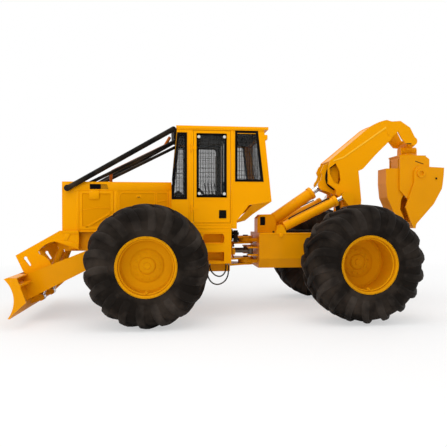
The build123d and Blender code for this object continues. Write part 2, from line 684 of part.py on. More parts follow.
def push_arms():
    """Two arms from the blade to the frame pivots."""
    px, pz = BLADE_PIVOT
    rows = from_front_axle([(-1900, 314), (-1754, 387), (-970, 778)]) + [
        (px + 40, pz - 100), (px + 108, pz, px, pz + 108), (px - 120, pz + 98)
        ] + from_front_axle([(-980, 1079), (-1812, 744), (-1960, 684)])
    arm = side_plate(rows, ARM_INNER_Y, ARM_INNER_Y + ARM_WALL)
    pin = cross_rod(px, pz, ARM_INNER_Y - 200, ARM_INNER_Y + ARM_WALL + 10,
                    ARM_PIN_RADIUS + BORE_GAP)
    board_space = side_plate(from_front_axle(
        [(-2300, 740), (-2300, 158), (-1924, 158), (-1838, 440, -1973, 740)]),
        -BLADE_HALF, BLADE_HALF)
    return both(cut(arm, pin, board_space))


def arm_pins():
    """Pivot pins of the push arms, fixed in the rails."""
    px, pz = BLADE_PIVOT
    return both(cross_rod(px, pz, RAIL_Y, ARM_INNER_Y + ARM_WALL + 12, ARM_PIN_RADIUS))


def blade_cylinder_parts():
    """Both lift cylinders of the blade: barrels pinned in the nose, rods on the blade."""
    barrels, rods = [], []
    shortest = pin_distances(BLADE_CYL_TOP, BLADE_CYL_EYE, BLADE_PIVOT, (BLADE_UP, BLADE_DOWN))[0]
    for side in (1, -1):
        barrel, piston_rod = side_cylinder(
            BLADE_CYL_TOP, BLADE_CYL_EYE, side * BLADE_CYL_Y, 50, 27, 52, 25, 86, 70, shortest)
        barrels.append(barrel)
        rods.append(piston_rod)
    return barrels, rods


def pin_distances(base, eye, pivot, turns):
    """Shortest and longest distance between a cylinder's pins over its joint's turns."""
    lengths = []
    for turn in turns:
        angle = math.radians(turn)
        dx, dz = eye[0] - pivot[0], eye[1] - pivot[1]
        lengths.append(math.dist(base, (pivot[0] + dx * math.cos(angle) + dz * math.sin(angle),
                                        pivot[1] - dx * math.sin(angle) + dz * math.cos(angle))))
    return min(lengths), max(lengths)


def side_cylinder(base, eye, y, bore, rod_radius, eye_radius, pin_radius, width, lug_reach,
                  shortest):
    """A cylinder whose pins lie across the machine, sized by its closed length."""
    half = width / 2
    barrel_length = shortest - eye_radius - ROD_SHOWING
    cavity_start = max(lug_reach + MOVE_GAP + 24, pin_radius + 22)
    rod_start = cavity_start + ROD_END_GAP + math.dist(base, eye) - shortest

    def stretch(start, end, radius):
        """A round stretch of the cylinder between two distances from its base pin."""
        (x_from, z_from), (x_to, z_to) = along(base, eye, start), along(base, eye, end)
        return rod((x_from, y, z_from), (x_to, y, z_to), radius)

    def boss(centre, radius, extra=0.0):
        return cross_rod(centre[0], centre[1], y - half - extra, y + half + extra, radius)

    body_start = lug_reach + MOVE_GAP
    neck = stretch(0, body_start + 5, min(half - 1, bore))
    body = stretch(body_start, barrel_length, bore)
    collar = stretch(barrel_length - 55, barrel_length, bore + 12)
    cavity = stretch(cavity_start, barrel_length + 5, rod_radius + BORE_GAP)
    barrel = cut(joined(body, collar, neck, boss(base, eye_radius)), cavity,
                 boss(base, pin_radius + BORE_GAP, 5))
    shaft = stretch(rod_start, math.dist(base, eye), rod_radius)
    return barrel, cut(joined(shaft, boss(eye, eye_radius)), boss(eye, pin_radius, 5))


def plan_cylinder(side):
    """A steering cylinder: barrel and rod, on upright pins."""
    base, eye = STEER_BASE, STEER_EYE
    half, eye_radius, bore, rod_radius = 46.0, 44.0, 50.0, 26.0
    shortest = min(math.dist(base, (eye[0] * math.cos(turn) - eye[1] * math.sin(turn),
                                    eye[0] * math.sin(turn) + eye[1] * math.cos(turn)))
                   for turn in (math.radians(STEER_LIMIT), -math.radians(STEER_LIMIT)))
    barrel_length = shortest - eye_radius - ROD_SHOWING
    rod_start = 60 + ROD_END_GAP + math.dist(base, eye) - shortest
    start = Vector(base[0], side * base[1], STEER_Z)
    end = Vector(eye[0], side * eye[1], STEER_Z)
    unit = (end - start).normalized()
    up = Vector(0, 0, half)
    mouth = start + unit * barrel_length
    body = joined(rod(start + unit * 20, mouth, bore), rod(mouth - unit * 45, mouth, bore + 10),
                  rod(start - up, start + up, eye_radius + 6))
    barrel = cut(body, rod(start + unit * 60, mouth, rod_radius + BORE_GAP),
                 rod(start - up * 2, start + up * 2, 22 + BORE_GAP))
    shaft = joined(rod(start + unit * rod_start, end, rod_radius),
                   rod(end - up, end + up, eye_radius))
    return barrel, cut(shaft, rod(end - up * 2, end + up * 2, 22))


# ================================================================ rear frame
def rear_frame():
    """Box frame: bent side plates, deck, bottom, hinge lugs and the arch's pivot ears."""
    front, tail = REAR_FRAME_FRONT, TAIL
    saddle = AXLE_Z + 140.0
    outer = REAR_FRAME_Y
    inner = outer - REAR_FRAME_WALL
    deck_end = REAR_X - 190.0
    belly_end = REAR_X - 520.0
    band = 90.0
    plate = side_plate([
        (front, REAR_EDGE), (front, REAR_DECK), (tail - 60, REAR_DECK), (tail, REAR_DECK - 70),
        (tail, 1000), (tail - 90, REAR_EDGE), (REAR_X + 190, REAR_EDGE),
        (REAR_X + 150, saddle), (REAR_X - 150, saddle), (REAR_X - 190, REAR_EDGE)], inner, outer)
    lower = Solid.extrude(
        Face(loop([(inner, REAR_EDGE + 1), (outer, REAR_EDGE + 1), (outer - band, REAR_BOTTOM),
                   (inner - band, REAR_BOTTOM)], lambda y, z: (front, y, z))),
        Vector(belly_end - front, 0, 0))
    deck = block(front, deck_end, -inner, inner, REAR_DECK - 25, REAR_DECK)
    half = inner - band + 14
    bottom = block(front, belly_end, -half, half, REAR_BOTTOM, REAR_BOTTOM + 25)
    belly_back = side_plate([
        (belly_end - 25, REAR_BOTTOM + 5), (belly_end, REAR_BOTTOM + 5),
        (REAR_X - 230, 1060), (REAR_X - 255, 1060)], -half, half)
    bulkhead = Solid.extrude(
        Face(loop([(-inner, REAR_DECK), (inner, REAR_DECK), (inner, REAR_EDGE),
                   (inner - band, REAR_BOTTOM), (band - inner, REAR_BOTTOM), (-inner, REAR_EDGE)],
                  lambda y, z: (front, y, z))), Vector(35, 0, 0))
    tail_plate = block(tail - 200, tail - 165, -inner, inner, TIE_DOWN[1] - 62, saddle + 22)
    saddle_plate = block(REAR_X - 150, REAR_X + 150, -inner, inner, saddle, saddle + 22)
    pad_front, pad_rear, pad_half = DECK_PAD
    pad = block(pad_front, pad_rear, -pad_half, pad_half, REAR_DECK - 5, PAD_TOP)
    lugs = [hinge_tongue(front + 5, 210, level, HINGE_LUG) for level in HINGE_LEVELS]
    pieces = both(plate) + both(lower) + [deck, bottom, belly_back, bulkhead, tail_plate,
                                          saddle_plate, pad] + lugs
    frame = joined(pieces)
    pin_x, pin_z = ARCH_PIVOT
    ears = []
    for side in (1, -1):
        ears.append(side_plate([
            (pin_x - 160, saddle + 22), (pin_x - 100, pin_z, pin_x - 62, pin_z + 78),
            (pin_x, pin_z + 100, pin_x + 62, pin_z + 78), (pin_x + 160, saddle + 22)],
            side * (ARCH_Y + 14), side * (ARCH_Y + 44)))
    frame = joined(frame, ears)
    eye_ears = []
    eye_x, eye_y = STEER_EYE
    for side in (1, -1):
        for step in (-1, 1):
            near = STEER_Z + step * (46 + SEAM)
            far = near + step * 24
            eye_ears.append(block(eye_x - 50, front + 5, min(side * (eye_y - 70), side * (eye_y + 70)),
                                  max(side * (eye_y - 70), side * (eye_y + 70)),
                                  min(near, far), max(near, far)))
    frame = joined(frame, eye_ears)
    bores = [rod((0, 0, level - 60), (0, 0, level + 60), HINGE_PIN_RADIUS + BORE_GAP)
             for level in HINGE_LEVELS]
    housing = turned([(0, 0), (0, AXLE_BOWL_RADIUS), (90, AXLE_BOWL_RADIUS - 18),
                      (230, AXLE_TUBE_RADIUS), (600, AXLE_TUBE_RADIUS), (600, 0)],
                     REAR_X, AXLE_Z, 0, 1)
    pivot_bore = cross_rod(pin_x, pin_z, -ARCH_Y - 60, ARCH_Y + 60, ARCH_PIN_RADIUS)
    tie_down = rod((tail - 205, TIE_DOWN[0], TIE_DOWN[1]), (tail - 160, TIE_DOWN[0], TIE_DOWN[1]),
                   TIE_DOWN_RADIUS)
    return cut(frame, bores, both(housing), pivot_bore, both(tie_down))


def lift_base_lugs():
    """Lugs on the deck for the outer lift cylinders, joined by their pins."""
    x, z = LIFT_BASE
    sides = []
    for side in (1, -1):
        lugs = [side_plate([
            (x - 90, REAR_DECK), (x - 62, z, x, z + 62), (x + 62, z, x + 90, REAR_DECK)],
            side * LIFT_Y + step, side * LIFT_Y + step + 22) for step in (-62, 40)]
        pin = cross_rod(x, z, side * LIFT_Y - 62, side * LIFT_Y + 62, 30)
        sides.append(joined(lugs, pin))
    return sides


def tower():
    """Front tower on the rear frame's deck that carries the centre cylinder."""
    base_x, base_z = CENTRE_BASE
    front = REAR_FRAME_FRONT + 20
    rows = [
        (front, REAR_DECK), (front, 1590), (front + 60, 1650), (435, 1655),
        (base_x + 110, base_z, base_x + 80, REAR_DECK)]
    plates = []
    window = side_plate([
        (front + 55, 1490), (front + 70, 1590), (front + 140, 1600), (front + 140, 1490)],
        60, 200)
    plates += both(cut(side_plate(rows, 118, 148), window))
    top = block(front + 60, 330, -118, 118, 1625, 1650)
    front_web = block(front, front + 25, -118, 118, REAR_DECK, 1585)
    pin = cross_rod(base_x, base_z, -118, 118, 38)
    return joined(plates, top, front_web, pin)


def arch_pins():
    """The two pivot pins that carry the arch in the rear frame's ears."""
    x, z = ARCH_PIVOT
    pins = []
    for side in (1, -1):
        near, far = ARCH_Y - ARCH_WALL - 30, ARCH_Y + 62
        pins.append(cross_rod(x, z, side * near, side * far, ARCH_PIN_RADIUS))
    return pins


def tow_lugs():
    """Drawbar clevis at the rear frame's tail with its upright bore."""
    x = TAIL - 165
    jaw = [(x, -110), (x + 190, -70), (x + 250, 0, x + 190, 70), (x, 110)]
    plates = [cut(plan_plate(jaw, low, low + 32),
                  rod((x + 180, 0, low - 5), (x + 180, 0, low + 40), 27)) for low in (985,)]
    return plates


# ================================================================ arch
def arch_point(x, z):
    """A point of the arch given from its pivot."""
    return ARCH_PIVOT[0] + x, ARCH_PIVOT[1] + z


ARCH_ROWS = [
    # along the arch's side from the foot of the leg, up its front, over the head and back
    (-150, -40), (-146, 696), (-271, 804), (-285, 893), (-423, 995), (-423, 1250),
    (-395, 1390), (344, 1999), (560, 2095, 631, 2113), (727, 2088), (885, 2101),
    (1062, 1987), (1150, 1821), (1195, 1740, 1152, 1683), (992, 1700), (904, 1801),
    (842, 1917), (746, 1831), (702, 1764), (440, 1510), (205, 1255), (123, 1216), (175, 710),
    (110, -20), (0, -110, -110, -20)]

KNEE_WINDOW = [(-285, 1347), (-397, 1263), (-391, 1161), (-320, 1020), (-225, 977), (-199, 1060),
               (-219, 1213)]

KNEE_EAR = [(-290, 1425), (-440, 1335), (-473, 1309), (-517, 1210), (-490, 1144), (-520, 1060),
            (-560, 970, -500, 890), (-420, 870), (-262, 800), (-262, 900), (-200, 1000),
            (-180, 1500)]


def arch():
    """The arch: two side plates from foot to head, closed by top, bottom and rear plates."""
    def placed(rows):
        """Rows of an outline whose X and Z are given from the pivot."""
        return [tuple(value + (ARCH_PIVOT[0] if index % 2 == 0 else ARCH_PIVOT[1])
                      for index, value in enumerate(row)) for row in rows]

    plate = side_plate(placed(ARCH_ROWS), ARCH_Y - ARCH_WALL, ARCH_Y)
    plate = cut(plate, side_plate(placed(KNEE_WINDOW), ARCH_Y - ARCH_WALL - 5, ARCH_Y + 5))
    ears = both(side_plate(placed(KNEE_EAR), 110, 135))
    pin = cross_rod(ARCH_PIVOT[0], ARCH_PIVOT[1], 0, ARCH_Y + 5, ARCH_PIN_RADIUS + BORE_GAP)
    plates = both(cut(plate, pin))
    inner = ARCH_Y - ARCH_WALL

    def web(points, thick, y=inner):
        """A plate between the side plates along a line of points."""
        rows_out = []
        for x, z in points:
            rows_out.append(arch_point(x, z))
        for x, z in reversed(points):
            rows_out.append(arch_point(x + thick[0], z + thick[1]))
        return side_plate(rows_out, -y, y)

    webs = [
        web([(-388, 1386), (344, 1990), (540, 2078), (640, 2098)], (12, -22)),
        web([(640, 2098), (727, 2078), (872, 2090)], (4, -22)),
        web([(205, 1275), (440, 1530), (680, 1752)], (-14, 20)),
        web([(160, 860), (120, 1225)], (-24, 0)),
        web([(-146, 560), (-140, 700)], (24, 0)),
        web([(-146, 700), (-268, 806), (-281, 893)], (24, 8)),
    ]
    body = joined(plates, webs, ears)
    tip = cross_rod(TIP_PIN[0], TIP_PIN[1], -ARCH_Y, ARCH_Y, 40)
    return joined(body, tip)


def lift_ears():
    """Ears on the leg's sides that straddle the rods' eyes of the outer cylinders."""
    x, z = LIFT_EYE
    leg_x = ARCH_PIVOT[0] - 195
    pieces = []
    for side in (1, -1):
        for step in (-46 - SEAM - 20, 46 + SEAM):
            y = side * LIFT_Y + step
            pieces.append(side_plate([
                (x - 70, z), (x, z + 70, x + 50, z + 60), (leg_x + 150, z + 40),
                (leg_x + 150, z - 160), (leg_x + 60, z - 160), (x - 40, z - 60)], y, y + 20))
        near = ARCH_Y
        far = LIFT_Y + 46 + SEAM + 20
        back = side_plate([
            (leg_x + 110, z + 40), (leg_x + 150, z + 40), (leg_x + 150, z - 160),
            (leg_x + 110, z - 160)], side * near, side * far)
        pieces.append(back)
    return [joined(pieces[:3]), joined(pieces[3:])]


def lift_cylinders():
    """The two outer lift cylinders."""
    barrels, rods = [], []
    shortest = pin_distances(LIFT_BASE, LIFT_EYE, ARCH_PIVOT, (ARCH_FORWARD, ARCH_BACK))[0]
    for side in (1, -1):
        barrel, piston_rod = side_cylinder(
            LIFT_BASE, LIFT_EYE, side * LIFT_Y, 80, 38, 66, 30, 76, 66, shortest)
        barrels.append(barrel)
        rods.append(piston_rod)
    return barrels, rods


def centre_cylinder():
    """The large middle cylinder between the tower and the arch's knee."""
    shortest = pin_distances(CENTRE_BASE, CENTRE_EYE, ARCH_PIVOT, (ARCH_FORWARD, ARCH_BACK))[0]
    return side_cylinder(CENTRE_BASE, CENTRE_EYE, 0, 100, 50, 80, 38, 200, 0, shortest)


# ================================================================ grapple
def hanger_link():
    """Cross link: an eye on the arch's tip pin and a fork on the cross pin below it."""
    x, z = TIP_PIN
    low = z - LINK_DROP
    upper = cross_rod(x, z, -150, 150, 82)
    neck = block(x - 60, x + 60, -85, 85, low, z)
    lower = rod((x - 120, 0, low), (x + 120, 0, low), 70)
    link = joined(upper, neck, lower)
    return cut(link, cross_rod(x, z, -160, 160, 40 + BORE_GAP),
               rod((x - 130, 0, low), (x + 130, 0, low), 32 + BORE_GAP))


def rotator():
    """Rotator housing with the two cheeks that hang from the cross pin."""
    x, z = TIP_PIN[0], TIP_PIN[1] - LINK_DROP
    pieces = [rod((x, 0, HEAD_TOP + MOVE_GAP), (x, 0, z - 82), 150)]
    for low, high in ((120 + SEAM, 150), (-150, -120 - SEAM)):
        pieces.append(block(x + low, x + high, -70, 70, z - 90, z))
        pieces.append(rod((x + low, 0, z), (x + high, 0, z), 70))
    pieces.append(rod((x - 150, 0, z), (x + 150, 0, z), 32))
    pieces.append(rod((x, 0, HEAD_TOP - 60), (x, 0, HEAD_TOP + 20), 60))
    return joined(pieces)


def from_grapple(rows, side=1):
    """Rows of an outline whose X is given from the grapple's middle and Z from its pivots."""
    return [tuple(GRAPPLE_X + side * value if index % 2 == 0 else TONG_PIVOT[1] + value
                  for index, value in enumerate(row)) for row in rows]


def head():
    """Grapple head: a flange, two side plates and a front plate slotted for the front tong."""
    x, inner = GRAPPLE_X, HEAD_Y - HEAD_WALL
    rows = from_grapple([
        (HEAD_FRONT, 300), (HEAD_FRONT, -299), (-189, -342), (-64, -483), (60, -465),
        (205, -370), (HEAD_REAR, -300), (HEAD_REAR, 249), (HEAD_REAR - 22, 274), (250, 300)])
    plates = both(side_plate(rows, inner, HEAD_Y))
    flange = block(x - 250, x + 250, -HEAD_Y, HEAD_Y, HEAD_TOP - 25, HEAD_TOP)
    front = block(x + HEAD_FRONT, x + HEAD_FRONT + 20, -inner, inner,
                  TONG_PIVOT[1] - 299, HEAD_TOP - 20)
    slot = block(x + HEAD_FRONT - 5, x + HEAD_FRONT + 25, FRONT_TONG_Y - TONG_WALL - 8,
                 inner, TONG_PIVOT[1] - 310, HEAD_TOP - 60)
    middle = block(x + HEAD_FRONT - 5, x + HEAD_FRONT + 25, -82, 82,
                   TONG_PIVOT[1] - 310, TONG_PIVOT[1] - 58)
    front = cut(front, both(slot), middle)
    pins = [cross_rod(x - TONG_PIVOT[0], TONG_PIVOT[1], -inner - 10, inner + 10, 42),
            cross_rod(x + TONG_PIVOT[0], TONG_PIVOT[1], -REAR_TONG_Y, REAR_TONG_Y, 42)]
    bearing = rod((x, 0, HEAD_TOP - 30), (x, 0, HEAD_TOP + 5), 60 + BORE_GAP)
    return cut(joined(plates, flange, front, pins), bearing)


# each tong's side outline, then the space inside it
FRONT_TONG_ROWS = [
    (300, 88), (470, 85), (472, -180), (445, -430), (325, -690), (130, -880), (98, -875),
    (150, -755), (205, -640), (195, -480), (110, -280), (47, -20), (45, 0), (73, 67, 140, 95)]
FRONT_TONG_INSIDE = [
    (-60, 200), (360, 200), (360, 57), (440, 57), (442, -178), (416, -420), (300, -670),
    (112, -852), (-60, -852)]
REAR_TONG_ROWS = [
    (351, 113), (573, 104), (560, -90, 535, -268), (383, -543), (62, -895), (45, -975),
    (12, -972), (-60, -820), (-141, -604), (16, -157), (15, 0), (52, 88, 140, 125)]
REAR_TONG_INSIDE = [
    (-200, 200), (482, 200), (482, 74), (541, 70), (528, -92, 504, -262), (355, -525),
    (45, -865), (-200, -865)]


def tong(side):
    """One tong: two side plates joined by its back plate, with the hub on its pivot."""
    front = side < 0
    rows, inside = ((FRONT_TONG_ROWS, FRONT_TONG_INSIDE) if front
                    else (REAR_TONG_ROWS, REAR_TONG_INSIDE))
    far = FRONT_TONG_Y if front else REAR_TONG_Y
    wall = far - TONG_WALL
    outer = side_plate(from_grapple(rows, side), -far, far)
    hollow = side_plate(from_grapple(inside, side), -wall, wall)
    pivot_x = GRAPPLE_X + side * TONG_PIVOT[0]
    pin_x, pin_z = GRAPPLE_X + side * TONG_PIN[0], TONG_PIN[1]
    if front:
        hub = both(cross_rod(pivot_x, TONG_PIVOT[1], wall - 40, far, 75))
        pins = [cross_rod(pin_x, pin_z, -wall, wall, 28)]
    else:
        hub = both(cross_rod(pivot_x, TONG_PIVOT[1], wall, far + 24, 75))
        pins = both(cross_rod(pin_x, pin_z, 60 + SEAM, wall, 28))
    body = joined(cut(outer, hollow), hub, pins)
    return cut(body, cross_rod(pivot_x, TONG_PIVOT[1], -far - 30, far + 30, 42 + BORE_GAP))


def tong_cylinder():
    """The grapple cylinder: barrel on the front tong, rod on the rear tong."""
    base = (GRAPPLE_X - TONG_PIN[0], TONG_PIN[1])
    eye = (GRAPPLE_X + TONG_PIN[0], TONG_PIN[1])
    return side_cylinder(base, eye, 0, 58, 32, 50, 28, 120, 0, TONG_PIN[0] * 2 - 34)


# ================================================================ hoses
def hose(rows, y):
    """A free hose through its route's points, bent as gently as its runs allow."""
    points = [Vector(FRONT_X + x, y, z) for x, z in rows]
    radii = []
    for before, here, after in zip(points, points[1:], points[2:]):
        turn = (here - before).get_angle(after - here)
        shorter = min((here - before).length, (after - here).length)
        radii.append(0.45 * shorter / math.tan(math.radians(turn / 2)))
    print("hose radii", [round(radius) for radius in radii])
    path = FilletPolyline(*points, radius=radii)
    return sweep(Plane(origin=path @ 0, z_dir=path % 0) * Circle(HOSE_RADIUS), path)


def hose_fittings():
    """Hex-sized sleeves under the left step box that the free hoses come out of."""
    sleeves = []
    for rows, y in ((OUTER_HOSE, OUTER_HOSE_Y), (INNER_HOSE, INNER_HOSE_Y)):
        for x, z in (rows[0], rows[-1]):
            sleeves.append(rod((FRONT_X + x, y, z), (FRONT_X + x, y, STEP_BOTTOM), 17))
    return sleeves

# ================================================================ nodes
def nodes():
    """Every node's shapes by name."""
    table = {
        "front_frame": joined(front_frame(), belly_pan()),
        "frame_pins": hinge_pins() + arm_pins(),
        "nose": nose(),
        "hood": hood(),
        "left_hood_panels": hood_panels(-1),
        "right_hood_panels": hood_panels(1),
        "front_grille": grille(),
        "engine": engine(),
        "front_axle": axle(FRONT_X, FRONT_DISC_DEPTH),
        "cab_shell": joined(cab_shell(), door_hinge_posts()),
        "cab_roof": cab_roof(),
        "cab_windows": cab_windows(),
        "left_door": door(-1),
        "right_door": door(1),
        "left_door_window": door_glass(-1),
        "right_door_window": door_glass(1),
        "seat": seat(),
        "dashboard": console(),
        "left_step_box": step_box(-1),
        "right_step_box": step_box(1),
        "limb_risers": risers(),
        "exhaust_pipe": exhaust(),
        "blade": blade(),
        "push_arms": push_arms(),
        "outer_hose": hose(OUTER_HOSE, OUTER_HOSE_Y),
        "inner_hose": hose(INNER_HOSE, INNER_HOSE_Y),
        "hose_fittings": hose_fittings(),
    }
    table["blade_cylinder_barrels"], table["blade_cylinder_rods"] = blade_cylinder_parts()
    table["left_steering_barrel"], table["left_steering_rod"] = plan_cylinder(-1)
    table["right_steering_barrel"], table["right_steering_rod"] = plan_cylinder(1)
    table["rear_frame"] = joined(rear_frame(), tow_lugs())
    table["tower"] = [tower()] + lift_base_lugs()
    table["arch_pins"] = arch_pins()
    table["rear_axle"] = axle(REAR_X, REAR_DISC_DEPTH)
    table["arch"] = joined(arch(), lift_ears())
    table["lift_cylinder_barrels"], table["lift_cylinder_rods"] = lift_cylinders()
    table["centre_cylinder_barrel"], table["centre_cylinder_rod"] = centre_cylinder()
    table["hanger_link"] = hanger_link()
    table["rotator"] = rotator()
    table["grapple_head"] = head()
    table["front_tong"] = tong(-1)
    table["rear_tong"] = tong(1)
    table["tong_cylinder_barrel"], table["tong_cylinder_rod"] = tong_cylinder()
    for end, x, depth in (("front", FRONT_X, FRONT_DISC_DEPTH), ("rear", REAR_X, REAR_DISC_DEPTH)):
        for name, side in (("left", -1), ("right", 1)):
            table[f"{end}_{name}_tyre"] = tyre(x, side)
            table[f"{end}_{name}_rim"] = rim(x, side, depth)
    return table


def solids_of(shape):
    """The separate solids in a shape or a list of shapes."""
    if isinstance(shape, (list, tuple)):
        return [solid for one in shape for solid in solids_of(one)]
    return list(shape.solids())


def main():
    """Write one STEP file for each node."""
    os.makedirs("parts", exist_ok=True)
    for name, shape in nodes().items():
        moved = [Pos(ORIGIN_SHIFT, 0, 0) * solid for solid in solids_of(shape)]
        export_step(Compound(children=moved), f"parts/{name}.step")


if __name__ == "__main__":
    main()
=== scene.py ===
"""Looks of a four-wheel articulated grapple skidder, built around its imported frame.

The frame gives every rigid piece its place. This script dresses those pieces with finishes,
replaces the plain tyres with treaded ones, and adds screens, fasteners, hoses, trim and the two
free hoses.
All sizes are metres, with X to the rear, Y to the machine's right and Z up.
"""

from __future__ import annotations

import json
import logging
import math
from dataclasses import dataclass
from enum import Enum
from typing import Callable, Sequence

import bmesh
import bpy
from mathutils import Matrix, Vector

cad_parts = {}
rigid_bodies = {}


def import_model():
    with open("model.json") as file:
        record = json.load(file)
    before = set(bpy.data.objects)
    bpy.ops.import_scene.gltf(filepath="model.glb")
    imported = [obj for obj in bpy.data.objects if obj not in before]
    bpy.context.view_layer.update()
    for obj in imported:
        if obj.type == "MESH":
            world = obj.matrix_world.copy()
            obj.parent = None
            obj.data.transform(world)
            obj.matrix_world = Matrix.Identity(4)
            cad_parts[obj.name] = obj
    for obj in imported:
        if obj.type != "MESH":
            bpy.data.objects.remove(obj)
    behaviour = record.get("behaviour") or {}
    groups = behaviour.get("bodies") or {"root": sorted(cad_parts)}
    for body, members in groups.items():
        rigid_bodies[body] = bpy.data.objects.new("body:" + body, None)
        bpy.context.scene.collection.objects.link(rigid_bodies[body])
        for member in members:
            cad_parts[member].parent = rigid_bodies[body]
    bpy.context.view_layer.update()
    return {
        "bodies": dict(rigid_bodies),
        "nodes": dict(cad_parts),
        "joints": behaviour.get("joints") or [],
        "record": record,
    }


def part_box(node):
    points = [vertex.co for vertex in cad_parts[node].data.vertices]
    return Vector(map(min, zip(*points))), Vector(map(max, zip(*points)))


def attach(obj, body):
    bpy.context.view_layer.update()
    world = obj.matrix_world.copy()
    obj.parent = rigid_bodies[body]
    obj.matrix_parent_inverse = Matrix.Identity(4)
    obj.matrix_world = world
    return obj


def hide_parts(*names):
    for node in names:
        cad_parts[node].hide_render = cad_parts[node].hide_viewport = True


LOG = logging.getLogger("skidder")
SIDES = (-1, 1)
SIDE_NAMES = {-1: "left", 1: "right"}
Point = tuple[float, float, float]
Spot = tuple[float, float]
Outline = Sequence[Spot]
Colour = tuple[float, float, float]
Tree, Node, Socket = bpy.types.NodeTree, bpy.types.Node, bpy.types.NodeSocket
Mesh = bpy.types.Mesh


def linear(red: int, green: int, blue: int) -> Colour:
    """Turn a colour as it is seen, in steps of 255, into the shader's linear values."""
    return tuple(((v / 255 + 0.055) / 1.055) ** 2.4 if v > 10 else v / 255 / 12.92
                 for v in (red, green, blue))


# ---------------------------------------------------------------- node trees
def feed(tree: Tree, node: Node, inputs: dict[str | int, object]) -> None:
    """Give a node's inputs their values, or link them to other nodes' sockets."""
    for name, value in inputs.items():
        if isinstance(value, Socket):
            tree.links.new(value, node.inputs[name])
        else:
            node.inputs[name].default_value = value


def add(tree: Tree, kind: str, inputs: dict[str | int, object] | None = None,
        **settings: object) -> Node:
    """Add a node to a tree.

    Args:
        tree: the node tree.
        kind: the node's type.
        inputs: a value or a socket to link for each input, by name or number.
        **settings: the node's own properties.

    Returns:
        The new node.
    """
    node = tree.nodes.new(kind)
    for name, value in settings.items():
        setattr(node, name, value)
    feed(tree, node, inputs or {})
    return node


def maths(tree: Tree, operation: str, first: object, second: object = 0.0,
          clamp: bool = False) -> Socket:
    """Add a maths node and return its result."""
    return add(tree, "ShaderNodeMath", {0: first, 1: second}, operation=operation,
               use_clamp=clamp).outputs[0]


# ---------------------------------------------------------------- shader effects
class Effect(Enum):
    """The surface effects that several finishes share."""

    WEATHER = "weather"
    GRAIN = "grain"


class EffectShelf:
    """Builds each shared shader group once and hands out nodes that use it."""

    patch_level, patch_contrast, dust_up_high = 0.42, 3.2, 0.25
    tone_scale, coarse_share = 0.9, 0.7

    def __init__(self) -> None:
        """Start with no group built."""
        self._groups: dict[Effect, Tree] = {}

    def place(self, tree: Tree, effect: Effect, **values: object) -> Node:
        """Put one effect into a material.

        Args:
            tree: the material's node tree.
            effect: which shared group to use.
            **values: input values, with spaces in names written as underscores.

        Returns:
            The group node, with its values set.
        """
        if effect not in self._groups:
            maker: Callable[[], Tree] = {
                Effect.WEATHER: self._weather, Effect.GRAIN: self._grain}[effect]
            self._groups[effect] = maker()
        inputs = {name.replace("_", " "): value for name, value in values.items()}
        return add(tree, "ShaderNodeGroup", inputs, node_tree=self._groups[effect])

    @staticmethod
    def _open(name: str, inputs: dict[str, float],
              outputs: Sequence[str]) -> tuple[Tree, object, Node]:
        """Open an empty shader group with named sockets for numbers."""
        group = bpy.data.node_groups.new(name, "ShaderNodeTree")
        for label, value in inputs.items():
            socket = group.interface.new_socket(label, in_out="INPUT",
                                                socket_type="NodeSocketFloat")
            socket.default_value = value
        for label in outputs:
            group.interface.new_socket(label, in_out="OUTPUT", socket_type="NodeSocketFloat")
        return group, add(group, "NodeGroupInput").outputs, add(group, "NodeGroupOutput")

    @staticmethod
    def _noise(group: Tree, place: Socket, scale: object,
               detail: float) -> Socket:
        """Add a noise and return its value."""
        return add(group, "ShaderNodeTexNoise",
                   {"Detail": detail, "Vector": place, "Scale": scale}).outputs["Fac"]

    def _weather(self) -> Tree:
        """Dust that settles low down and in soft patches, with a slow change of tone."""
        group, given, sink = self._open(
            "weather", {"Patch Scale": 3.0, "Amount": 0.3, "Low Reach": 1.2}, ("Dust", "Tone"))
        place = add(group, "ShaderNodeTexCoord").outputs["Object"]
        height = add(group, "ShaderNodeSeparateXYZ", {0: place}).outputs["Z"]
        low = maths(group, "DIVIDE", height, given["Low Reach"])
        low = maths(group, "SUBTRACT", 1.0, low, clamp=True)
        low = maths(group, "ADD", low, self.dust_up_high)
        spread = self._noise(group, place, given["Patch Scale"], 6.0)
        spread = maths(group, "SUBTRACT", spread, self.patch_level, clamp=True)
        spread = maths(group, "MULTIPLY", spread, self.patch_contrast, clamp=True)
        dust = maths(group, "MULTIPLY", spread, low)
        dust = maths(group, "MULTIPLY", dust, given["Amount"], clamp=True)
        feed(group, sink, {"Dust": dust, "Tone": self._noise(group, place, self.tone_scale, 2.0)})
        return group

    def _grain(self) -> Tree:
        """A fine grain over a coarser one, as a height."""
        group, given, sink = self._open("grain", {"Fine": 400.0, "Coarse": 60.0}, ("Height",))
        place = add(group, "ShaderNodeTexCoord").outputs["Object"]
        fine = self._noise(group, place, given["Fine"], 2.0)
        coarse = self._noise(group, place, given["Coarse"], 3.0)
        coarse = maths(group, "MULTIPLY", coarse, self.coarse_share)
        feed(group, sink, {"Height": maths(group, "ADD", fine, coarse)})
        return group


EFFECTS = EffectShelf()


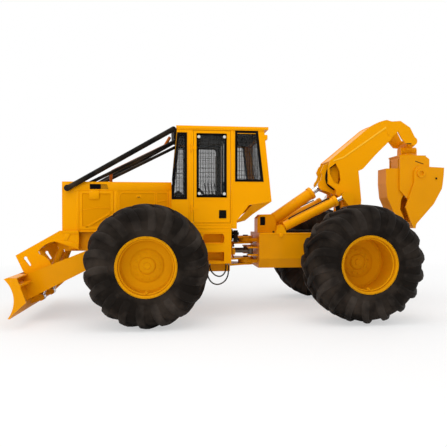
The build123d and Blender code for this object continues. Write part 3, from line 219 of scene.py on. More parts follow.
# ---------------------------------------------------------------- finishes
@dataclass(frozen=True)
class Finish:
    """A surface finish: its colours, gloss and wear.

    Attributes:
        name: the material's name.
        colour: clean colour.
        dust: colour of the dust on it.
        roughness: how dull it is where clean.
        metallic: 1 for bare metal.
        coat: strength of a clear glossy coat.
        dust_amount: how much dust settles.
        low_reach: height up to which dust gathers.
        tone: how far the colour drifts.
        grain: depth of its fine grain in metres.
        fine: scale of the fine grain.
        coarse: scale of the coarse grain.
        slot: the record's material slot; not used.
        gloss: strength of its reflections.
        film: for a clear pane, how much of it is seen as a dark film.
    """

    name: str
    colour: Colour
    dust: Colour = linear(150, 128, 98)
    roughness: float = 0.4
    metallic: float = 0.0
    coat: float = 0.0
    dust_amount: float = 0.15
    low_reach: float = 1.4
    tone: float = 0.12
    grain: float = 0.0004
    fine: float = 300.0
    coarse: float = 40.0
    slot: str = "yellow_paint"
    gloss: float = 0.25
    film: float = 0.0
    dusty_rise, coat_roughness, grain_strength = 0.35, 0.12, 0.5

    def material(self) -> bpy.types.Material:
        """Return the material, building it the first time."""
        made = bpy.data.materials.get(self.name)
        if not made:
            made = bpy.data.materials.new(self.name)
            made.use_nodes = True
            shader = made.node_tree.nodes["Principled BSDF"]
            if self.film:
                feed(made.node_tree, shader, {"Base Color": (*self.colour, 1.0),
                                              "Roughness": self.roughness, "Alpha": self.film})
            else:
                self._dress(made.node_tree, shader)
        return made

    def _dress(self, tree: Tree, shader: Node) -> None:
        """Build the shader of an opaque finish."""
        weather = EFFECTS.place(tree, Effect.WEATHER, Amount=self.dust_amount,
                                Low_Reach=self.low_reach)
        dust = weather.outputs["Dust"]
        darker = tuple(channel * (1 - self.tone) for channel in self.colour)
        base = self._mix(tree, weather.outputs["Tone"], (*self.colour, 1.0), (*darker, 1.0))
        dusty = min(1.0, self.roughness + self.dusty_rise)
        rough = add(tree, "ShaderNodeMapRange",
                    {"To Min": self.roughness, "To Max": dusty, "Value": dust})
        feed(tree, shader, {
            "Coat Weight": self.coat, "Coat Roughness": self.coat_roughness,
            "Specular IOR Level": self.gloss, "Metallic": self.metallic,
            "Roughness": rough.outputs["Result"],
            "Base Color": self._mix(tree, dust, base, (*self.dust, 1.0))})
        if not self.metallic:
            shader.inputs["Specular Tint"].default_value = (*self.colour, 1.0)
        if self.grain:
            grain = EFFECTS.place(tree, Effect.GRAIN, Fine=self.fine, Coarse=self.coarse)
            bump = add(tree, "ShaderNodeBump", {
                "Strength": self.grain_strength, "Distance": self.grain,
                "Height": grain.outputs["Height"]})
            feed(tree, shader, {"Normal": bump.outputs["Normal"]})

    @staticmethod
    def _mix(tree: Tree, mask: Socket, first: object,
             second: object) -> Socket:
        """Mix two colours by a mask."""
        return add(tree, "ShaderNodeMix", {"Factor": mask, 6: first, 7: second},
                   data_type="RGBA").outputs[2]


EARTH = linear(170, 112, 26)
YELLOW = Finish("yellow paint", linear(247, 164, 4), EARTH, 0.38, coat=0.03, dust_amount=0.1,
                tone=0.1)
FRAME_YELLOW = Finish("frame yellow paint", linear(240, 157, 4), EARTH, 0.45, coat=0.1,
                      dust_amount=0.3, tone=0.2)
WORN_YELLOW = Finish("worn yellow paint", linear(243, 160, 4), EARTH, 0.42, coat=0.1,
                     dust_amount=0.22, tone=0.18)
# A darker copy of the yellow for the hood's side panels: painted shade, as if the sides were less
# lit.
SHADED_PANEL_YELLOW = Finish("side panel paint", linear(232, 151, 4), EARTH, 0.42, dust_amount=0.14,
                      tone=0.12)
# A lighter yellow that is a painted highlight: light catching the chamfered top edges of the
# arch.
HIGHLIGHT_YELLOW = Finish("bright yellow paint", linear(250, 190, 52), EARTH, 0.38,
                       dust_amount=0.06, tone=0.06)
RIM_YELLOW = Finish("wheel paint", linear(228, 156, 10), EARTH, 0.42, dust_amount=0.2, tone=0.15,
                    slot="wheel_paint")
BLACK = Finish("black paint", linear(24, 23, 22), roughness=0.45, dust_amount=0.25,
               low_reach=3.0, slot="black_paint")
TRIM_BLACK = Finish("black trim", linear(16, 16, 18), roughness=0.35, dust_amount=0.1,
                    slot="black_paint")
BAR_OLIVE = Finish("dark olive bars", linear(112, 78, 22), roughness=0.4, dust_amount=0.08,
                   slot="black_paint")
# Matt black for the dashboard and linings; also the thin dark sheets of painted shade in slots,
# windows and a hole.
MATT_BLACK_AND_SHADE = Finish("matt cab black", linear(24, 24, 25), roughness=0.75, dust_amount=0.1,
                   slot="cab_black")
RUBBER = Finish("tyre rubber", linear(30, 26, 23), linear(78, 68, 60), 0.78, dust_amount=0.5,
                low_reach=3.0, tone=0.3, grain=0.0015, fine=90.0, coarse=14.0,
                slot="tyre_rubber")
LUG_RUBBER = Finish("lug rubber", linear(34, 30, 27), linear(86, 77, 70), 0.6, dust_amount=0.5,
                    low_reach=3.0, tone=0.35, grain=0.002, fine=80.0, coarse=12.0,
                    slot="tyre_rubber")
HOSE = Finish("hose rubber", linear(22, 21, 20), roughness=0.55, dust_amount=0.3, grain=0.0003,
              slot="hose_rubber")
CHROME = Finish("hard chrome", linear(205, 205, 205), roughness=0.16, metallic=1.0,
                dust_amount=0.05, tone=0.05, grain=0.0, slot="chrome_rod")
STEEL = Finish("plain steel", linear(150, 146, 140), roughness=0.36, metallic=1.0,
               dust_amount=0.2, tone=0.2, slot="plated_steel")
PIN_STEEL = Finish("pin steel", linear(96, 88, 78), roughness=0.5, metallic=0.7,
                   dust_amount=0.35, tone=0.25, slot="pin_steel")
SILVER = Finish("silver bolt", linear(214, 212, 206), roughness=0.3, metallic=0.6,
                dust_amount=0.05, slot="plated_steel")
PIPE = Finish("heat browned pipe", linear(196, 104, 22), linear(116, 62, 50), 0.5,
              dust_amount=0.9, low_reach=6.0, tone=0.3, slot="pipe_paint")
ENGINE = Finish("engine casting", linear(38, 37, 36), roughness=0.6, dust_amount=0.3,
                slot="engine_paint")
VINYL = Finish("seat vinyl", linear(26, 26, 28), roughness=0.6, dust_amount=0.1, grain=0.001,
               fine=220.0, slot="seat_vinyl")
LAMP_GLASS = Finish("lamp glass", linear(226, 226, 218), roughness=0.12, coat=0.5,
                    dust_amount=0.05, slot="glass")
GLASS = Finish("cab glass", linear(38, 40, 40), roughness=0.06, slot="glass", film=0.26)


# ---------------------------------------------------------------- outlines and lines
def rectangle(left: float, right: float, low: float, high: float) -> list[Spot]:
    """Corners of an upright rectangle of X and Z."""
    return [(left, low), (right, low), (right, high), (left, high)]


def shift(outline: Outline, dx: float, dz: float = 0.0) -> list[Spot]:
    """Move an outline of X and Z."""
    return [(x + dx, z + dz) for x, z in outline]


def round_spots(radius: float, angles: Sequence[float]) -> list[Spot]:
    """Spots of X and Z at some angles of a circle."""
    return [(radius * math.cos(a), radius * math.sin(a)) for a in angles]


def turns(count: int, start: float = 0.0) -> list[float]:
    """Angles that part a whole turn evenly."""
    return [start + math.tau * k / count for k in range(count)]


def inset(outline: Outline, width: float, sharpest: float = 0.3) -> list[Spot]:
    """Move every side of an outline inwards by a width, less so at very sharp corners."""
    points = [Vector(p) for p in outline]
    area = sum(a.x * b.y - b.x * a.y for a, b in zip(points, points[1:] + points[:1]))
    turn = 1.0 if area > 0 else -1.0
    result = []
    for before, here, after in zip(points[-1:] + points[:-1], points, points[1:] + points[:1]):
        one, two = (here - before).normalized(), (after - here).normalized()
        left = Vector((-one.y, one.x)) * turn
        middle = (left + Vector((-two.y, two.x)) * turn).normalized()
        result.append(tuple(here + middle * width / max(sharpest, middle.dot(left))))
    return result


def soft_line(points: Sequence[Vector], steps: int) -> list[Vector]:
    """Return a smooth line through points, by Catmull-Rom curves between them."""
    ends = [points[0] * 2 - points[1], *points, points[-1] * 2 - points[-2]]
    line = []
    for a, b, c, d in zip(ends, ends[1:], ends[2:], ends[3:]):
        for t in (k / steps for k in range(steps)):
            line.append(((b * 2) + (c - a) * t + (a * 2 - b * 5 + c * 4 - d) * t * t
                         + (b * 3 - a - c * 3 + d) * t ** 3) / 2)
    return line + [points[-1].copy()]


def clip(outline: Outline, fixed: float, first: int) -> Spot | None:
    """Find where a line of fixed X (first 0) or Z (first 1) enters and leaves an outline."""
    hits = []
    for one, two in zip(outline, [*outline[1:], outline[0]]):
        if (one[first] - fixed) * (two[first] - fixed) < 0:
            share = (fixed - one[first]) / (two[first] - one[first])
            hits.append(one[1 - first] + share * (two[1 - first] - one[1 - first]))
    return (min(hits), max(hits)) if len(hits) >= 2 else None


# ---------------------------------------------------------------- meshes
def settle(mesh: Mesh, name: str, finish: Finish, body: str, soft: float = 35.0,
           replaces: Sequence[str] = ()) -> None:
    """Link a finished mesh, shade it and let it ride on its body."""
    mesh.polygons.foreach_set("use_smooth", [True] * len(mesh.polygons))
    mesh.set_sharp_from_angle(angle=math.radians(soft))
    mesh.materials.clear()
    mesh.materials.append(finish.material())
    piece = bpy.data.objects.new(name, mesh)
    bpy.context.scene.collection.objects.link(piece)
    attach(piece, body)
    if replaces:
        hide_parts(*replaces)
    LOG.info("piece %s on %s, %d faces", name, body, len(mesh.polygons))


class Draft:
    """A piece in the making, with each shape made on every side asked for.

    Points are X from a datum, depth out from a half width, and Z from the datum. Without those
    they are in the machine's own frame.
    """

    sharp, pipe_sides, pipe_steps = 0.6, 10, 5

    def __init__(self, body: str = "", x: float = 0.0, z: float = 0.0, half: float = 0.0,
                 sides: Sequence[int] = (1,)) -> None:
        """Start an empty piece that will ride on a body."""
        self.body, self.shape = body, bmesh.new()
        self.x, self.z, self.half, self.sides = x, z, half, sides

    def _at(self, point: Sequence[float], side: int) -> Point:
        """Place a point on one side."""
        return self.x + point[0], side * (self.half + point[1]), self.z + point[2]

    def _take(self, part: bmesh.types.BMesh, bevel: float = 0.0) -> None:
        """Add a finished part, with its edges eased by a bevel."""
        bmesh.ops.recalc_face_normals(part, faces=part.faces)
        if bevel:
            edges = [edge for edge in part.edges if edge.is_manifold
                     and edge.calc_face_angle(0.0) > self.sharp]
            bmesh.ops.bevel(part, geom=edges, offset=bevel, segments=2, profile=0.5,
                            affect="EDGES", clamp_overlap=True)
        loose = bpy.data.meshes.new("part")
        part.to_mesh(loose)
        part.free()
        self.shape.from_mesh(loose)
        bpy.data.meshes.remove(loose)

    def loft(self, rings: Sequence[Sequence[Sequence[float]]], closed: bool = False,
             bevel: float = 0.0) -> Draft:
        """Add a skin over rings of points.

        Args:
            rings: the rings in turn, where one point alone makes a tip.
            closed: whether the last ring joins the first; else both ends are capped.
            bevel: how far its edges are eased.

        Returns:
            This draft.
        """
        steps = max(len(ring) for ring in rings)
        for side in self.sides:
            part = bmesh.new()
            rows = [[part.verts.new(self._at(point, side)) for point in ring] for ring in rings]
            for one, two in zip(rows, rows[1:] + (rows[:1] if closed else [])):
                for k in range(steps):
                    corners = dict.fromkeys((one[k % len(one)], one[(k + 1) % len(one)],
                                             two[(k + 1) % len(two)], two[k % len(two)]))
                    if len(corners) > 2:
                        part.faces.new(tuple(corners))
            for row in () if closed else (rows[0], rows[-1]):
                if len(row) > 2:
                    part.faces.new(row)
            self._take(part, bevel)
        return self

    def plate(self, outline: Outline, y_from: float, y_to: float, bevel: float = 0.003) -> Draft:
        """Add a side plate, cut to an outline of X and Z."""
        return self.loft([[(x, y, z) for x, z in outline] for y in (y_from, y_to)], bevel=bevel)

    def frame(self, outline: Outline, width: float, y_from: float, y_to: float) -> Draft:
        """Add a flat frame of even width inside an outline of X and Z."""
        inner = inset(outline, width)
        return self.loft([[(x, y, z) for x, z in row] for row, y in (
            (outline, y_from), (inner, y_from), (inner, y_to), (outline, y_to))], True)

    def hull(self, points: Sequence[Sequence[float]]) -> Draft:
        """Add the tight solid round eight points."""
        for side in self.sides:
            part = bmesh.new()
            verts = [part.verts.new(self._at(point, side)) for point in points]
            bmesh.ops.convex_hull(part, input=verts)
            self._take(part)
        return self

    def turned(self, rows: Outline, centre: Sequence[float],
               axis: Sequence[float] = (0.0, 1.0, 0.0), steps: int = 48, bevel: float = 0.0,
               capped: bool = False) -> Draft:
        """Add a turned shape.

        Args:
            rows: points of distance along the axis and radius, from one end to the other.
            centre: the axis's origin.
            axis: the axis's direction.
            steps: how many flats go round.
            bevel: how far its edges are eased.
            capped: whether flat ends close it, rather than its own rows.

        Returns:
            This draft.
        """
        turn = Vector((0, 0, 1)).rotation_difference(Vector(axis)).to_matrix()
        angles = turns(steps, math.pi / 2 if capped else 0.0)
        rings = [[Vector(centre) + turn @ Vector((radius * math.cos(a), radius * math.sin(a),
                                                  along))
                  for a in (angles if radius else (0.0,))] for along, radius in rows]
        return self.loft(rings, not capped and rows[0][1] > 0, bevel)

    def rod(self, start: Sequence[float], end: Sequence[float], radius: float, steps: int = 24,
            end_radius: float | None = None, bevel: float = 0.0) -> Draft:
        """Add a round bar or cone between two points."""
        way = Vector(end) - Vector(start)
        rows = [(0.0, radius), (way.length, radius if end_radius is None else end_radius)]
        return self.turned(rows, start, way, steps, bevel, True)

    def pipe(self, points: Sequence[Sequence[float]], radius: float) -> Draft:
        """Add a pipe or hose that runs smoothly through its points."""
        line = soft_line([Vector(p) for p in points], self.pipe_steps)
        normal = None
        rings = []
        for index, here in enumerate(line):
            ahead = (line[min(index + 1, len(line) - 1)] - line[max(index - 1, 0)]).normalized()
            normal = normal or ahead.orthogonal()
            normal = (normal - ahead * normal.dot(ahead)).normalized()
            side = ahead.cross(normal)
            rings.append([here + (normal * math.cos(a) + side * math.sin(a)) * radius
                          for a in turns(self.pipe_sides)])
        return self.loft(rings)

    def mesh(self, name: str) -> Mesh:
        """Close the draft and return its mesh."""
        mesh = bpy.data.meshes.new(name)
        self.shape.to_mesh(mesh)
        self.shape.free()
        return mesh

    def done(self, name: str, finish: Finish, soft: float = 35.0,
             replaces: Sequence[str] = ()) -> None:
        """Turn the draft into a piece.

        Args:
            name: the piece's name.
            finish: its finish.
            soft: edges flatter than this many degrees are shaded smooth.
            replaces: nodes of the frame that it stands for.
        """
        settle(self.mesh(name), name, finish, self.body, soft, replaces)


# ---------------------------------------------------------------- geometry nodes
class Repeater:
    """Geometry node trees that make what repeats, each built once."""

    washer_width, washer_height, washer_sides = 1.45, 0.35, 16

    def __init__(self) -> None:
        """Start with no tree built."""
        self._trees: dict[str, Tree] = {}

    def _fasteners(self, tree: Tree, given: object) -> Socket:
        """Hex heads on washers at points, each turned along the point's facing."""
        radius, height = given["Head Radius"], given["Head Height"]
        head = add(tree, "GeometryNodeMeshCylinder",
                   {"Radius": radius, "Depth": height, "Vertices": given["Head Sides"]})
        washer = add(tree, "GeometryNodeMeshCylinder", {
            "Vertices": self.washer_sides,
            "Radius": maths(tree, "MULTIPLY", radius, self.washer_width),
            "Depth": maths(tree, "MULTIPLY", height, self.washer_height)})
        join = add(tree, "GeometryNodeJoinGeometry")
        for part in (head, washer):
            tree.links.new(part.outputs["Mesh"], join.inputs["Geometry"])
        facing = add(tree, "GeometryNodeInputNamedAttribute", {"Name": "facing"},
                     data_type="FLOAT_VECTOR")
        turn = add(tree, "FunctionNodeAlignRotationToVector",
                   {"Vector": facing.outputs["Attribute"]}, axis="Z")
        return add(tree, "GeometryNodeInstanceOnPoints", {
            "Points": given["Geometry"], "Instance": join.outputs["Geometry"],
            "Rotation": turn.outputs["Rotation"]}).outputs["Instances"]

    @staticmethod
    def _wires(tree: Tree, given: object) -> Socket:
        """Round wires along the edges of a mesh."""
        curve = add(tree, "GeometryNodeMeshToCurve", {"Mesh": given["Geometry"]})
        ring = add(tree, "GeometryNodeCurvePrimitiveCircle", {
            "Radius": given["Wire Radius"], "Resolution": given["Wire Sides"]})
        return add(tree, "GeometryNodeCurveToMesh", {
            "Fill Caps": True, "Curve": curve.outputs["Curve"],
            "Profile Curve": ring.outputs["Curve"]}).outputs["Mesh"]

    @staticmethod
    def _ring(tree: Tree, given: object) -> Socket:
        """Copies of the input shape, turned evenly about the Y axis."""
        line = add(tree, "GeometryNodeMeshLine",
                   {"Offset": (0.0, 0.0, 0.0), "Count": given["Count"]})
        index = add(tree, "GeometryNodeInputIndex").outputs["Index"]
        step = maths(tree, "DIVIDE", math.tau, given["Count"])
        euler = add(tree, "ShaderNodeCombineXYZ", {"Y": maths(tree, "MULTIPLY", index, step)})
        turn = add(tree, "FunctionNodeEulerToRotation", {"Euler": euler.outputs["Vector"]})
        return add(tree, "GeometryNodeInstanceOnPoints", {
            "Points": line.outputs["Mesh"], "Instance": given["Geometry"],
            "Rotation": turn.outputs["Rotation"]}).outputs["Instances"]

    def _tree(self, kind: str) -> Tree:
        """Build one tree, ending in Realize Instances and Set Material."""
        maker, inputs = {
            "fasteners": (self._fasteners, {"Head Radius": "Float", "Head Height": "Float",
                                            "Head Sides": "Int"}),
            "wires": (self._wires, {"Wire Radius": "Float", "Wire Sides": "Int"}),
            "ring": (self._ring, {"Count": "Int"})}[kind]
        tree = bpy.data.node_groups.new(kind, "GeometryNodeTree")
        for label, sort in {"Geometry": "Geometry", **inputs, "Material": "Material"}.items():
            tree.interface.new_socket(label, in_out="INPUT", socket_type=f"NodeSocket{sort}")
        tree.interface.new_socket("Geometry", in_out="OUTPUT", socket_type="NodeSocketGeometry")
        given = add(tree, "NodeGroupInput").outputs
        real = add(tree, "GeometryNodeRealizeInstances", {"Geometry": maker(tree, given)})
        paint = add(tree, "GeometryNodeSetMaterial", {"Geometry": real.outputs["Geometry"],
                                                      "Material": given["Material"]})
        add(tree, "NodeGroupOutput", {"Geometry": paint.outputs["Geometry"]})
        return tree

    def run(self, kind: str, mesh: Mesh, finish: Finish,
            **values: object) -> Mesh:
        """Run a tree on a mesh and return the plain result.

        Args:
            kind: "fasteners", "wires" or "ring".
            mesh: what the tree starts from.
            finish: the finish of what it makes.
            **values: the tree's other inputs, with spaces written as underscores.

        Returns:
            A new mesh with no modifier and no instances.
        """
        if kind not in self._trees:
            self._trees[kind] = self._tree(kind)
        tree = self._trees[kind]
        carrier = bpy.data.objects.new("carrier", mesh)
        bpy.context.scene.collection.objects.link(carrier)
        modifier = carrier.modifiers.new("repeat", "NODES")
        modifier.node_group = tree
        wanted = {name.replace("_", " "): value for name, value in values.items()}
        wanted["Material"] = finish.material()
        for item in tree.interface.items_tree:
            if item.item_type == "SOCKET" and item.in_out == "INPUT" and item.name in wanted:
                modifier[item.identifier] = wanted[item.name]
        graph = bpy.context.evaluated_depsgraph_get()
        result = bpy.data.meshes.new_from_object(carrier.evaluated_get(graph))
        bpy.data.objects.remove(carrier)
        bpy.data.meshes.remove(mesh)
        return result


REPEAT = Repeater()


# ---------------------------------------------------------------- the studio
@dataclass
class Studio:
    """Pale floor and backdrop, plain soft light and the camera."""

    eye: Point
    heading: float = -0.105
    nod: float = -0.013
    lens: float = 36.785
    floor_colour: tuple[float, float, float, float] = (0.93, 0.93, 0.93, 1.0)
    floor_reach: float = 60.0
    sky: float = 0.7

    def build(self) -> None:
        """Make the whole stage."""
        self._camera()
        self._floor()
        self._lamps()
        self._world()
        bpy.context.scene.view_settings.view_transform = "Standard"

    @staticmethod
    def _link(name: str, data: bpy.types.ID, place: Point, turn: Sequence[float]) -> object:
        """Put an object into the scene."""
        made = bpy.data.objects.new(name, data)
        made.location, made.rotation_euler = place, turn
        bpy.context.scene.collection.objects.link(made)
        return made

    def _camera(self) -> None:
        """Place the camera at standing height on the machine's left side."""
        data = bpy.data.cameras.new("camera")
        data.lens, data.sensor_width = self.lens, 36.0
        bpy.context.scene.camera = self._link(
            "camera", data, self.eye, (math.pi / 2 + self.nod, 0.0, self.heading))

    def _floor(self) -> None:
        """Lay a wide floor that fades to plain white and keeps a soft shadow."""
        mesh = bpy.data.meshes.new("floor")
        reach = self.floor_reach
        corners = rectangle(-reach, reach, -reach, reach)
        mesh.from_pydata([(x, y, 0) for x, y in corners], [], [(0, 1, 2, 3)])
        floor = self._link("floor", mesh, (0.0, 0.0, 0.0), (0.0, 0.0, 0.0))
        material = bpy.data.materials.new("pale floor")
        material.use_nodes = True
        tree = material.node_tree
        shader = tree.nodes["Principled BSDF"]
        feed(tree, shader, {"Base Color": self.floor_colour, "Roughness": 0.9,
                            "Specular IOR Level": 0.1})
        spot = add(tree, "ShaderNodeTexCoord").outputs["Object"]
        away = add(tree, "ShaderNodeVectorMath", {0: spot}, operation="LENGTH")
        fade = add(tree, "ShaderNodeMapRange", {
            "From Min": 4.0, "From Max": 11.0, "To Min": 0.5, "To Max": 1.0,
            "Value": away.outputs["Value"]})
        seen = add(tree, "ShaderNodeLightPath").outputs["Is Camera Ray"]
        mix = add(tree, "ShaderNodeMixShader", {
            0: maths(tree, "MULTIPLY", fade.outputs["Result"], seen), 1: shader.outputs["BSDF"],
            2: add(tree, "ShaderNodeEmission").outputs["Emission"]})
        feed(tree, tree.nodes["Material Output"], {"Surface": mix.outputs["Shader"]})
        mesh.materials.append(material)

    def _lamps(self) -> None:
        """Hang a broad lamp above and softer ones on the camera's side and behind."""
        for name, place, target, size, power in (
                ("top lamp", (-1.0, -3.0, 9.0), (0.0, 0.0, 1.0), 8.0, 360.0),
                ("side lamp", (-6.0, -10.0, 5.0), (0.0, 0.0, 1.4), 6.0, 230.0),
                ("rear lamp", (7.0, 5.0, 7.0), (0.0, 0.0, 1.4), 6.0, 120.0)):
            data = bpy.data.lights.new(name, "AREA")
            data.size, data.energy = size, power
            way = Vector(target) - Vector(place)
            self._link(name, data, place, way.to_track_quat("-Z", "Y").to_euler())

    def _world(self) -> None:
        """Light the scene evenly, with plain white behind it."""
        world = bpy.data.worlds.new("studio")
        world.use_nodes = True
        tree = world.node_tree
        back, white = tree.nodes["Background"], add(tree, "ShaderNodeBackground")
        for node, strength in ((back, self.sky), (white, 1.0)):
            feed(tree, node, {"Color": (1.0, 1.0, 1.0, 1.0), "Strength": strength})
        path = add(tree, "ShaderNodeLightPath").outputs
        direct = maths(tree, "ADD", path["Is Camera Ray"], path["Is Glossy Ray"], True)
        direct = maths(tree, "ADD", direct, path["Is Transmission Ray"], True)
        mix = add(tree, "ShaderNodeMixShader",
                  {0: direct, 1: back.outputs[0], 2: white.outputs[0]})
        feed(tree, tree.nodes["World Output"], {"Surface": mix.outputs[0]})
        bpy.context.scene.world = world


# ---------------------------------------------------------------- free hoses
@dataclass(frozen=True)
class FreeHose:
    """A hose that hangs in a loop below the left step box.

    Attributes:
        node: the frame's node that it stands for.
        route: points of X from the front axle and Z.
        y: where it hangs.
        length: its real length; not used.
    """

    node: str
    route: Outline
    y: float
    length: float

    def build(self, front_axle: float, radius: float = 0.011) -> None:
        curve = bpy.data.curves.new(self.node, "CURVE")
        curve.dimensions, curve.use_fill_caps = "3D", True
        curve.bevel_depth, curve.bevel_resolution, curve.resolution_u = radius, 4, 16
        line = curve.splines.new("NURBS")
        line.points.add(len(self.route) - 1)
        for point, (x, z) in zip(line.points, self.route):
            point.co = (front_axle + x, self.y, z, 1.0)
        line.use_endpoint_u, line.order_u = True, 3
        curve.materials.append(HOSE.material())
        piece = bpy.data.objects.new(f"{self.node}_run", curve)
        bpy.context.scene.collection.objects.link(piece)
        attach(piece, "front_frame")
        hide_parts(self.node)
        LOG.info("hose %s", self.node)


# ---------------------------------------------------------------- trim on both sides
@dataclass
class Trim:
    """What is added alike to the sides of one body.

    Attributes:
        x: X of the datum that its shapes are measured from.
        z: Z of the datum.
        half: half width of the body there.
        body: the body.
        sides: 1 for the right, -1 for the left.
    """

    x: float
    z: float = 0.0
    half: float = 0.0
    body: str = "front_frame"
    sides: Sequence[int] = SIDES
    wire_radius, wire_sides, wire_pitches, last_gap = 0.0028, 6, (0.042, 0.074), 0.2

    def draft(self, half: float | None = None, body: str | None = None) -> Draft:
        """Start a piece, at this half width and on this body unless told another."""
        return Draft(body or self.body, self.x, self.z, self.half if half is None else half,
                     self.sides)

    def bolts(self, name: str, groups: dict[float, Outline], finish: Finish, radius: float,
              height: float, flats: int = 6) -> None:
        """Make one piece of fasteners whose heads face outwards.

        Args:
            name: the piece's name.
            groups: their spots of X and Z, for each depth that they sit at.
            finish: their finish.
            radius: radius of the head.
            height: height of the head.
            flats: flats of the head, or more for a round one.
        """
        spots = [((self.x + x, s * (self.half + depth), self.z + z), float(s))
                 for s in self.sides for depth, group in groups.items() for x, z in group]
        mesh = bpy.data.meshes.new(name)
        mesh.from_pydata([place for place, _ in spots], [], [])
        facing = mesh.attributes.new("facing", "FLOAT_VECTOR", "POINT")
        facing.data.foreach_set("vector", [c for _, way in spots for c in (0.0, way, 0.0)])
        made = REPEAT.run("fasteners", mesh, finish, Head_Radius=radius, Head_Height=height,
                          Head_Sides=flats)
        settle(made, name, finish, self.body)

    def wires(self, name: str, ends: Sequence[tuple[Point, Point]]) -> None:
        """Make one piece of black wires, each between two ends."""
        mesh = bpy.data.meshes.new(name)
        mesh.from_pydata([end for wire in ends for end in wire],
                         [(2 * k, 2 * k + 1) for k in range(len(ends))], [])
        made = REPEAT.run("wires", mesh, BLACK, Wire_Radius=self.wire_radius,
                          Wire_Sides=self.wire_sides)
        settle(made, name, BLACK, self.body)

    def screens(self, name: str, outline: Outline, depth: float) -> None:
        """Make an upright wire screen on each side, inside an outline of X and Z."""
        outline = shift(outline, self.x, self.z)
        for s in self.sides:
            y, ends = s * (self.half + depth), []
            for first, pitch in enumerate(self.wire_pitches):
                low, high = (pick(spot[first] for spot in outline) for pick in (min, max))
                for k in range(1, math.ceil((high - low) / pitch)):
                    fixed = low + k * pitch
                    span = clip(outline, fixed, first)
                    if span and fixed <= high - self.last_gap * pitch:
                        ends.append(tuple((end, y, fixed) if first else (fixed, y, end)
                                          for end in span))
            self.wires(name.format(SIDE_NAMES[s]), ends)


# ---------------------------------------------------------------- wheels
@dataclass
class Tyre:
    """One treaded forestry tyre.

    Attributes:
        wheel: the wheel's name, such as front_left.
        centre: middle of the wheel.
        radius: outer radius over the lugs.
        half: half of its width.
        lugs: lugs on each side.
        lug_height: how far they stand over the crown.
        root: how deep they are sunk into the carcass.
    """

    wheel: str
    centre: Vector
    radius: float
    half: float
    lugs: int = 18
    lug_height: float = 0.046
    root: float = 0.012
    # Distance from the middle plane, with the fall from the crown.
    sidewall = ((0.0, 0.0), (0.12, 0.003), (0.22, 0.012), (0.295, 0.034), (0.335, 0.075),
                (0.358, 0.13), (0.372, 0.2), (0.377, 0.27), (0.371, 0.33), (0.356, 0.375),
                (0.352, 0.382), (0.35, 0.392), (0.344, 0.402))
    # Distance from the middle plane, with the radius.
    bead = ((0.34, 0.437), (0.336, 0.42), (0.325, 0.408))
    # Lean in pitches, share of the full height, and half width, from the middle outwards.
    lug_rows = ((-0.1, 1.0, 0.044), (-0.02, 1.0, 0.045), (0.24, 1.0, 0.047), (0.46, 0.99, 0.05),
                (0.66, 0.95, 0.056), (0.76, 0.86, 0.061), (0.83, 0.58, 0.066),
                (0.88, 0.26, 0.068), (0.9, 0.08, 0.067), (0.91, 0.0, 0.06))
    # Share of the half width, with the share of the height, where 0 is the sunk root.
    lug_section = ((-1.0, 0.0), (-0.78, 0.8), (-0.5, 1.0), (0.5, 1.0), (0.78, 0.8), (1.0, 0.0))

    def build(self) -> None:
        """Make the carcass and its two rings of lugs."""
        body = f"{self.wheel}_wheel"
        crown = self.radius - self.lug_height
        wall = [(y, crown - fall) for y, fall in self.sidewall]
        rows = [*wall, *self.bead]
        Draft(body).turned([(-y, r) for y, r in reversed(rows)] + rows[1:], self.centre,
                           (0, 1, 0), 96).done(f"{self.wheel}_tread_carcass", RUBBER, 50.0,
                                               [f"{self.wheel}_tyre"])
        for side, phase in ((1, 0.0), (-1, 0.5)):
            lug = self._lug([(-0.03, crown), *wall[:9]], side, phase)
            made = REPEAT.run("ring", lug, LUG_RUBBER, Count=self.lugs)
            made.transform(Matrix.Translation(self.centre))
            settle(made, f"{self.wheel}_{SIDE_NAMES[side]}_lugs", LUG_RUBBER, body, 60.0)

    def _lug(self, rows: Sequence[Spot], side: int, phase: float) -> Mesh:
        """One curved lug, from beside the middle over the shoulder and down the sidewall."""
        rings = []
        for k, ((y, r), (lean, share, width)) in enumerate(zip(rows, self.lug_rows)):
            before, after = rows[max(k - 1, 0)], rows[min(k + 1, len(rows) - 1)]
            slope = Vector((after[0] - before[0], after[1] - before[1])).normalized()
            ring = []
            for across, lift in self.lug_section:
                rise = self.lug_height * share * lift if lift else -self.root
                reach = r + slope.x * rise
                sideways = min(y + abs(slope.y) * rise, self.half) * side
                angle = math.tau / self.lugs * (lean + phase) + across * width / r
                ring.append((reach * math.sin(angle), sideways, reach * math.cos(angle)))
            rings.append(ring)
        return Draft().loft(rings).mesh("lug")


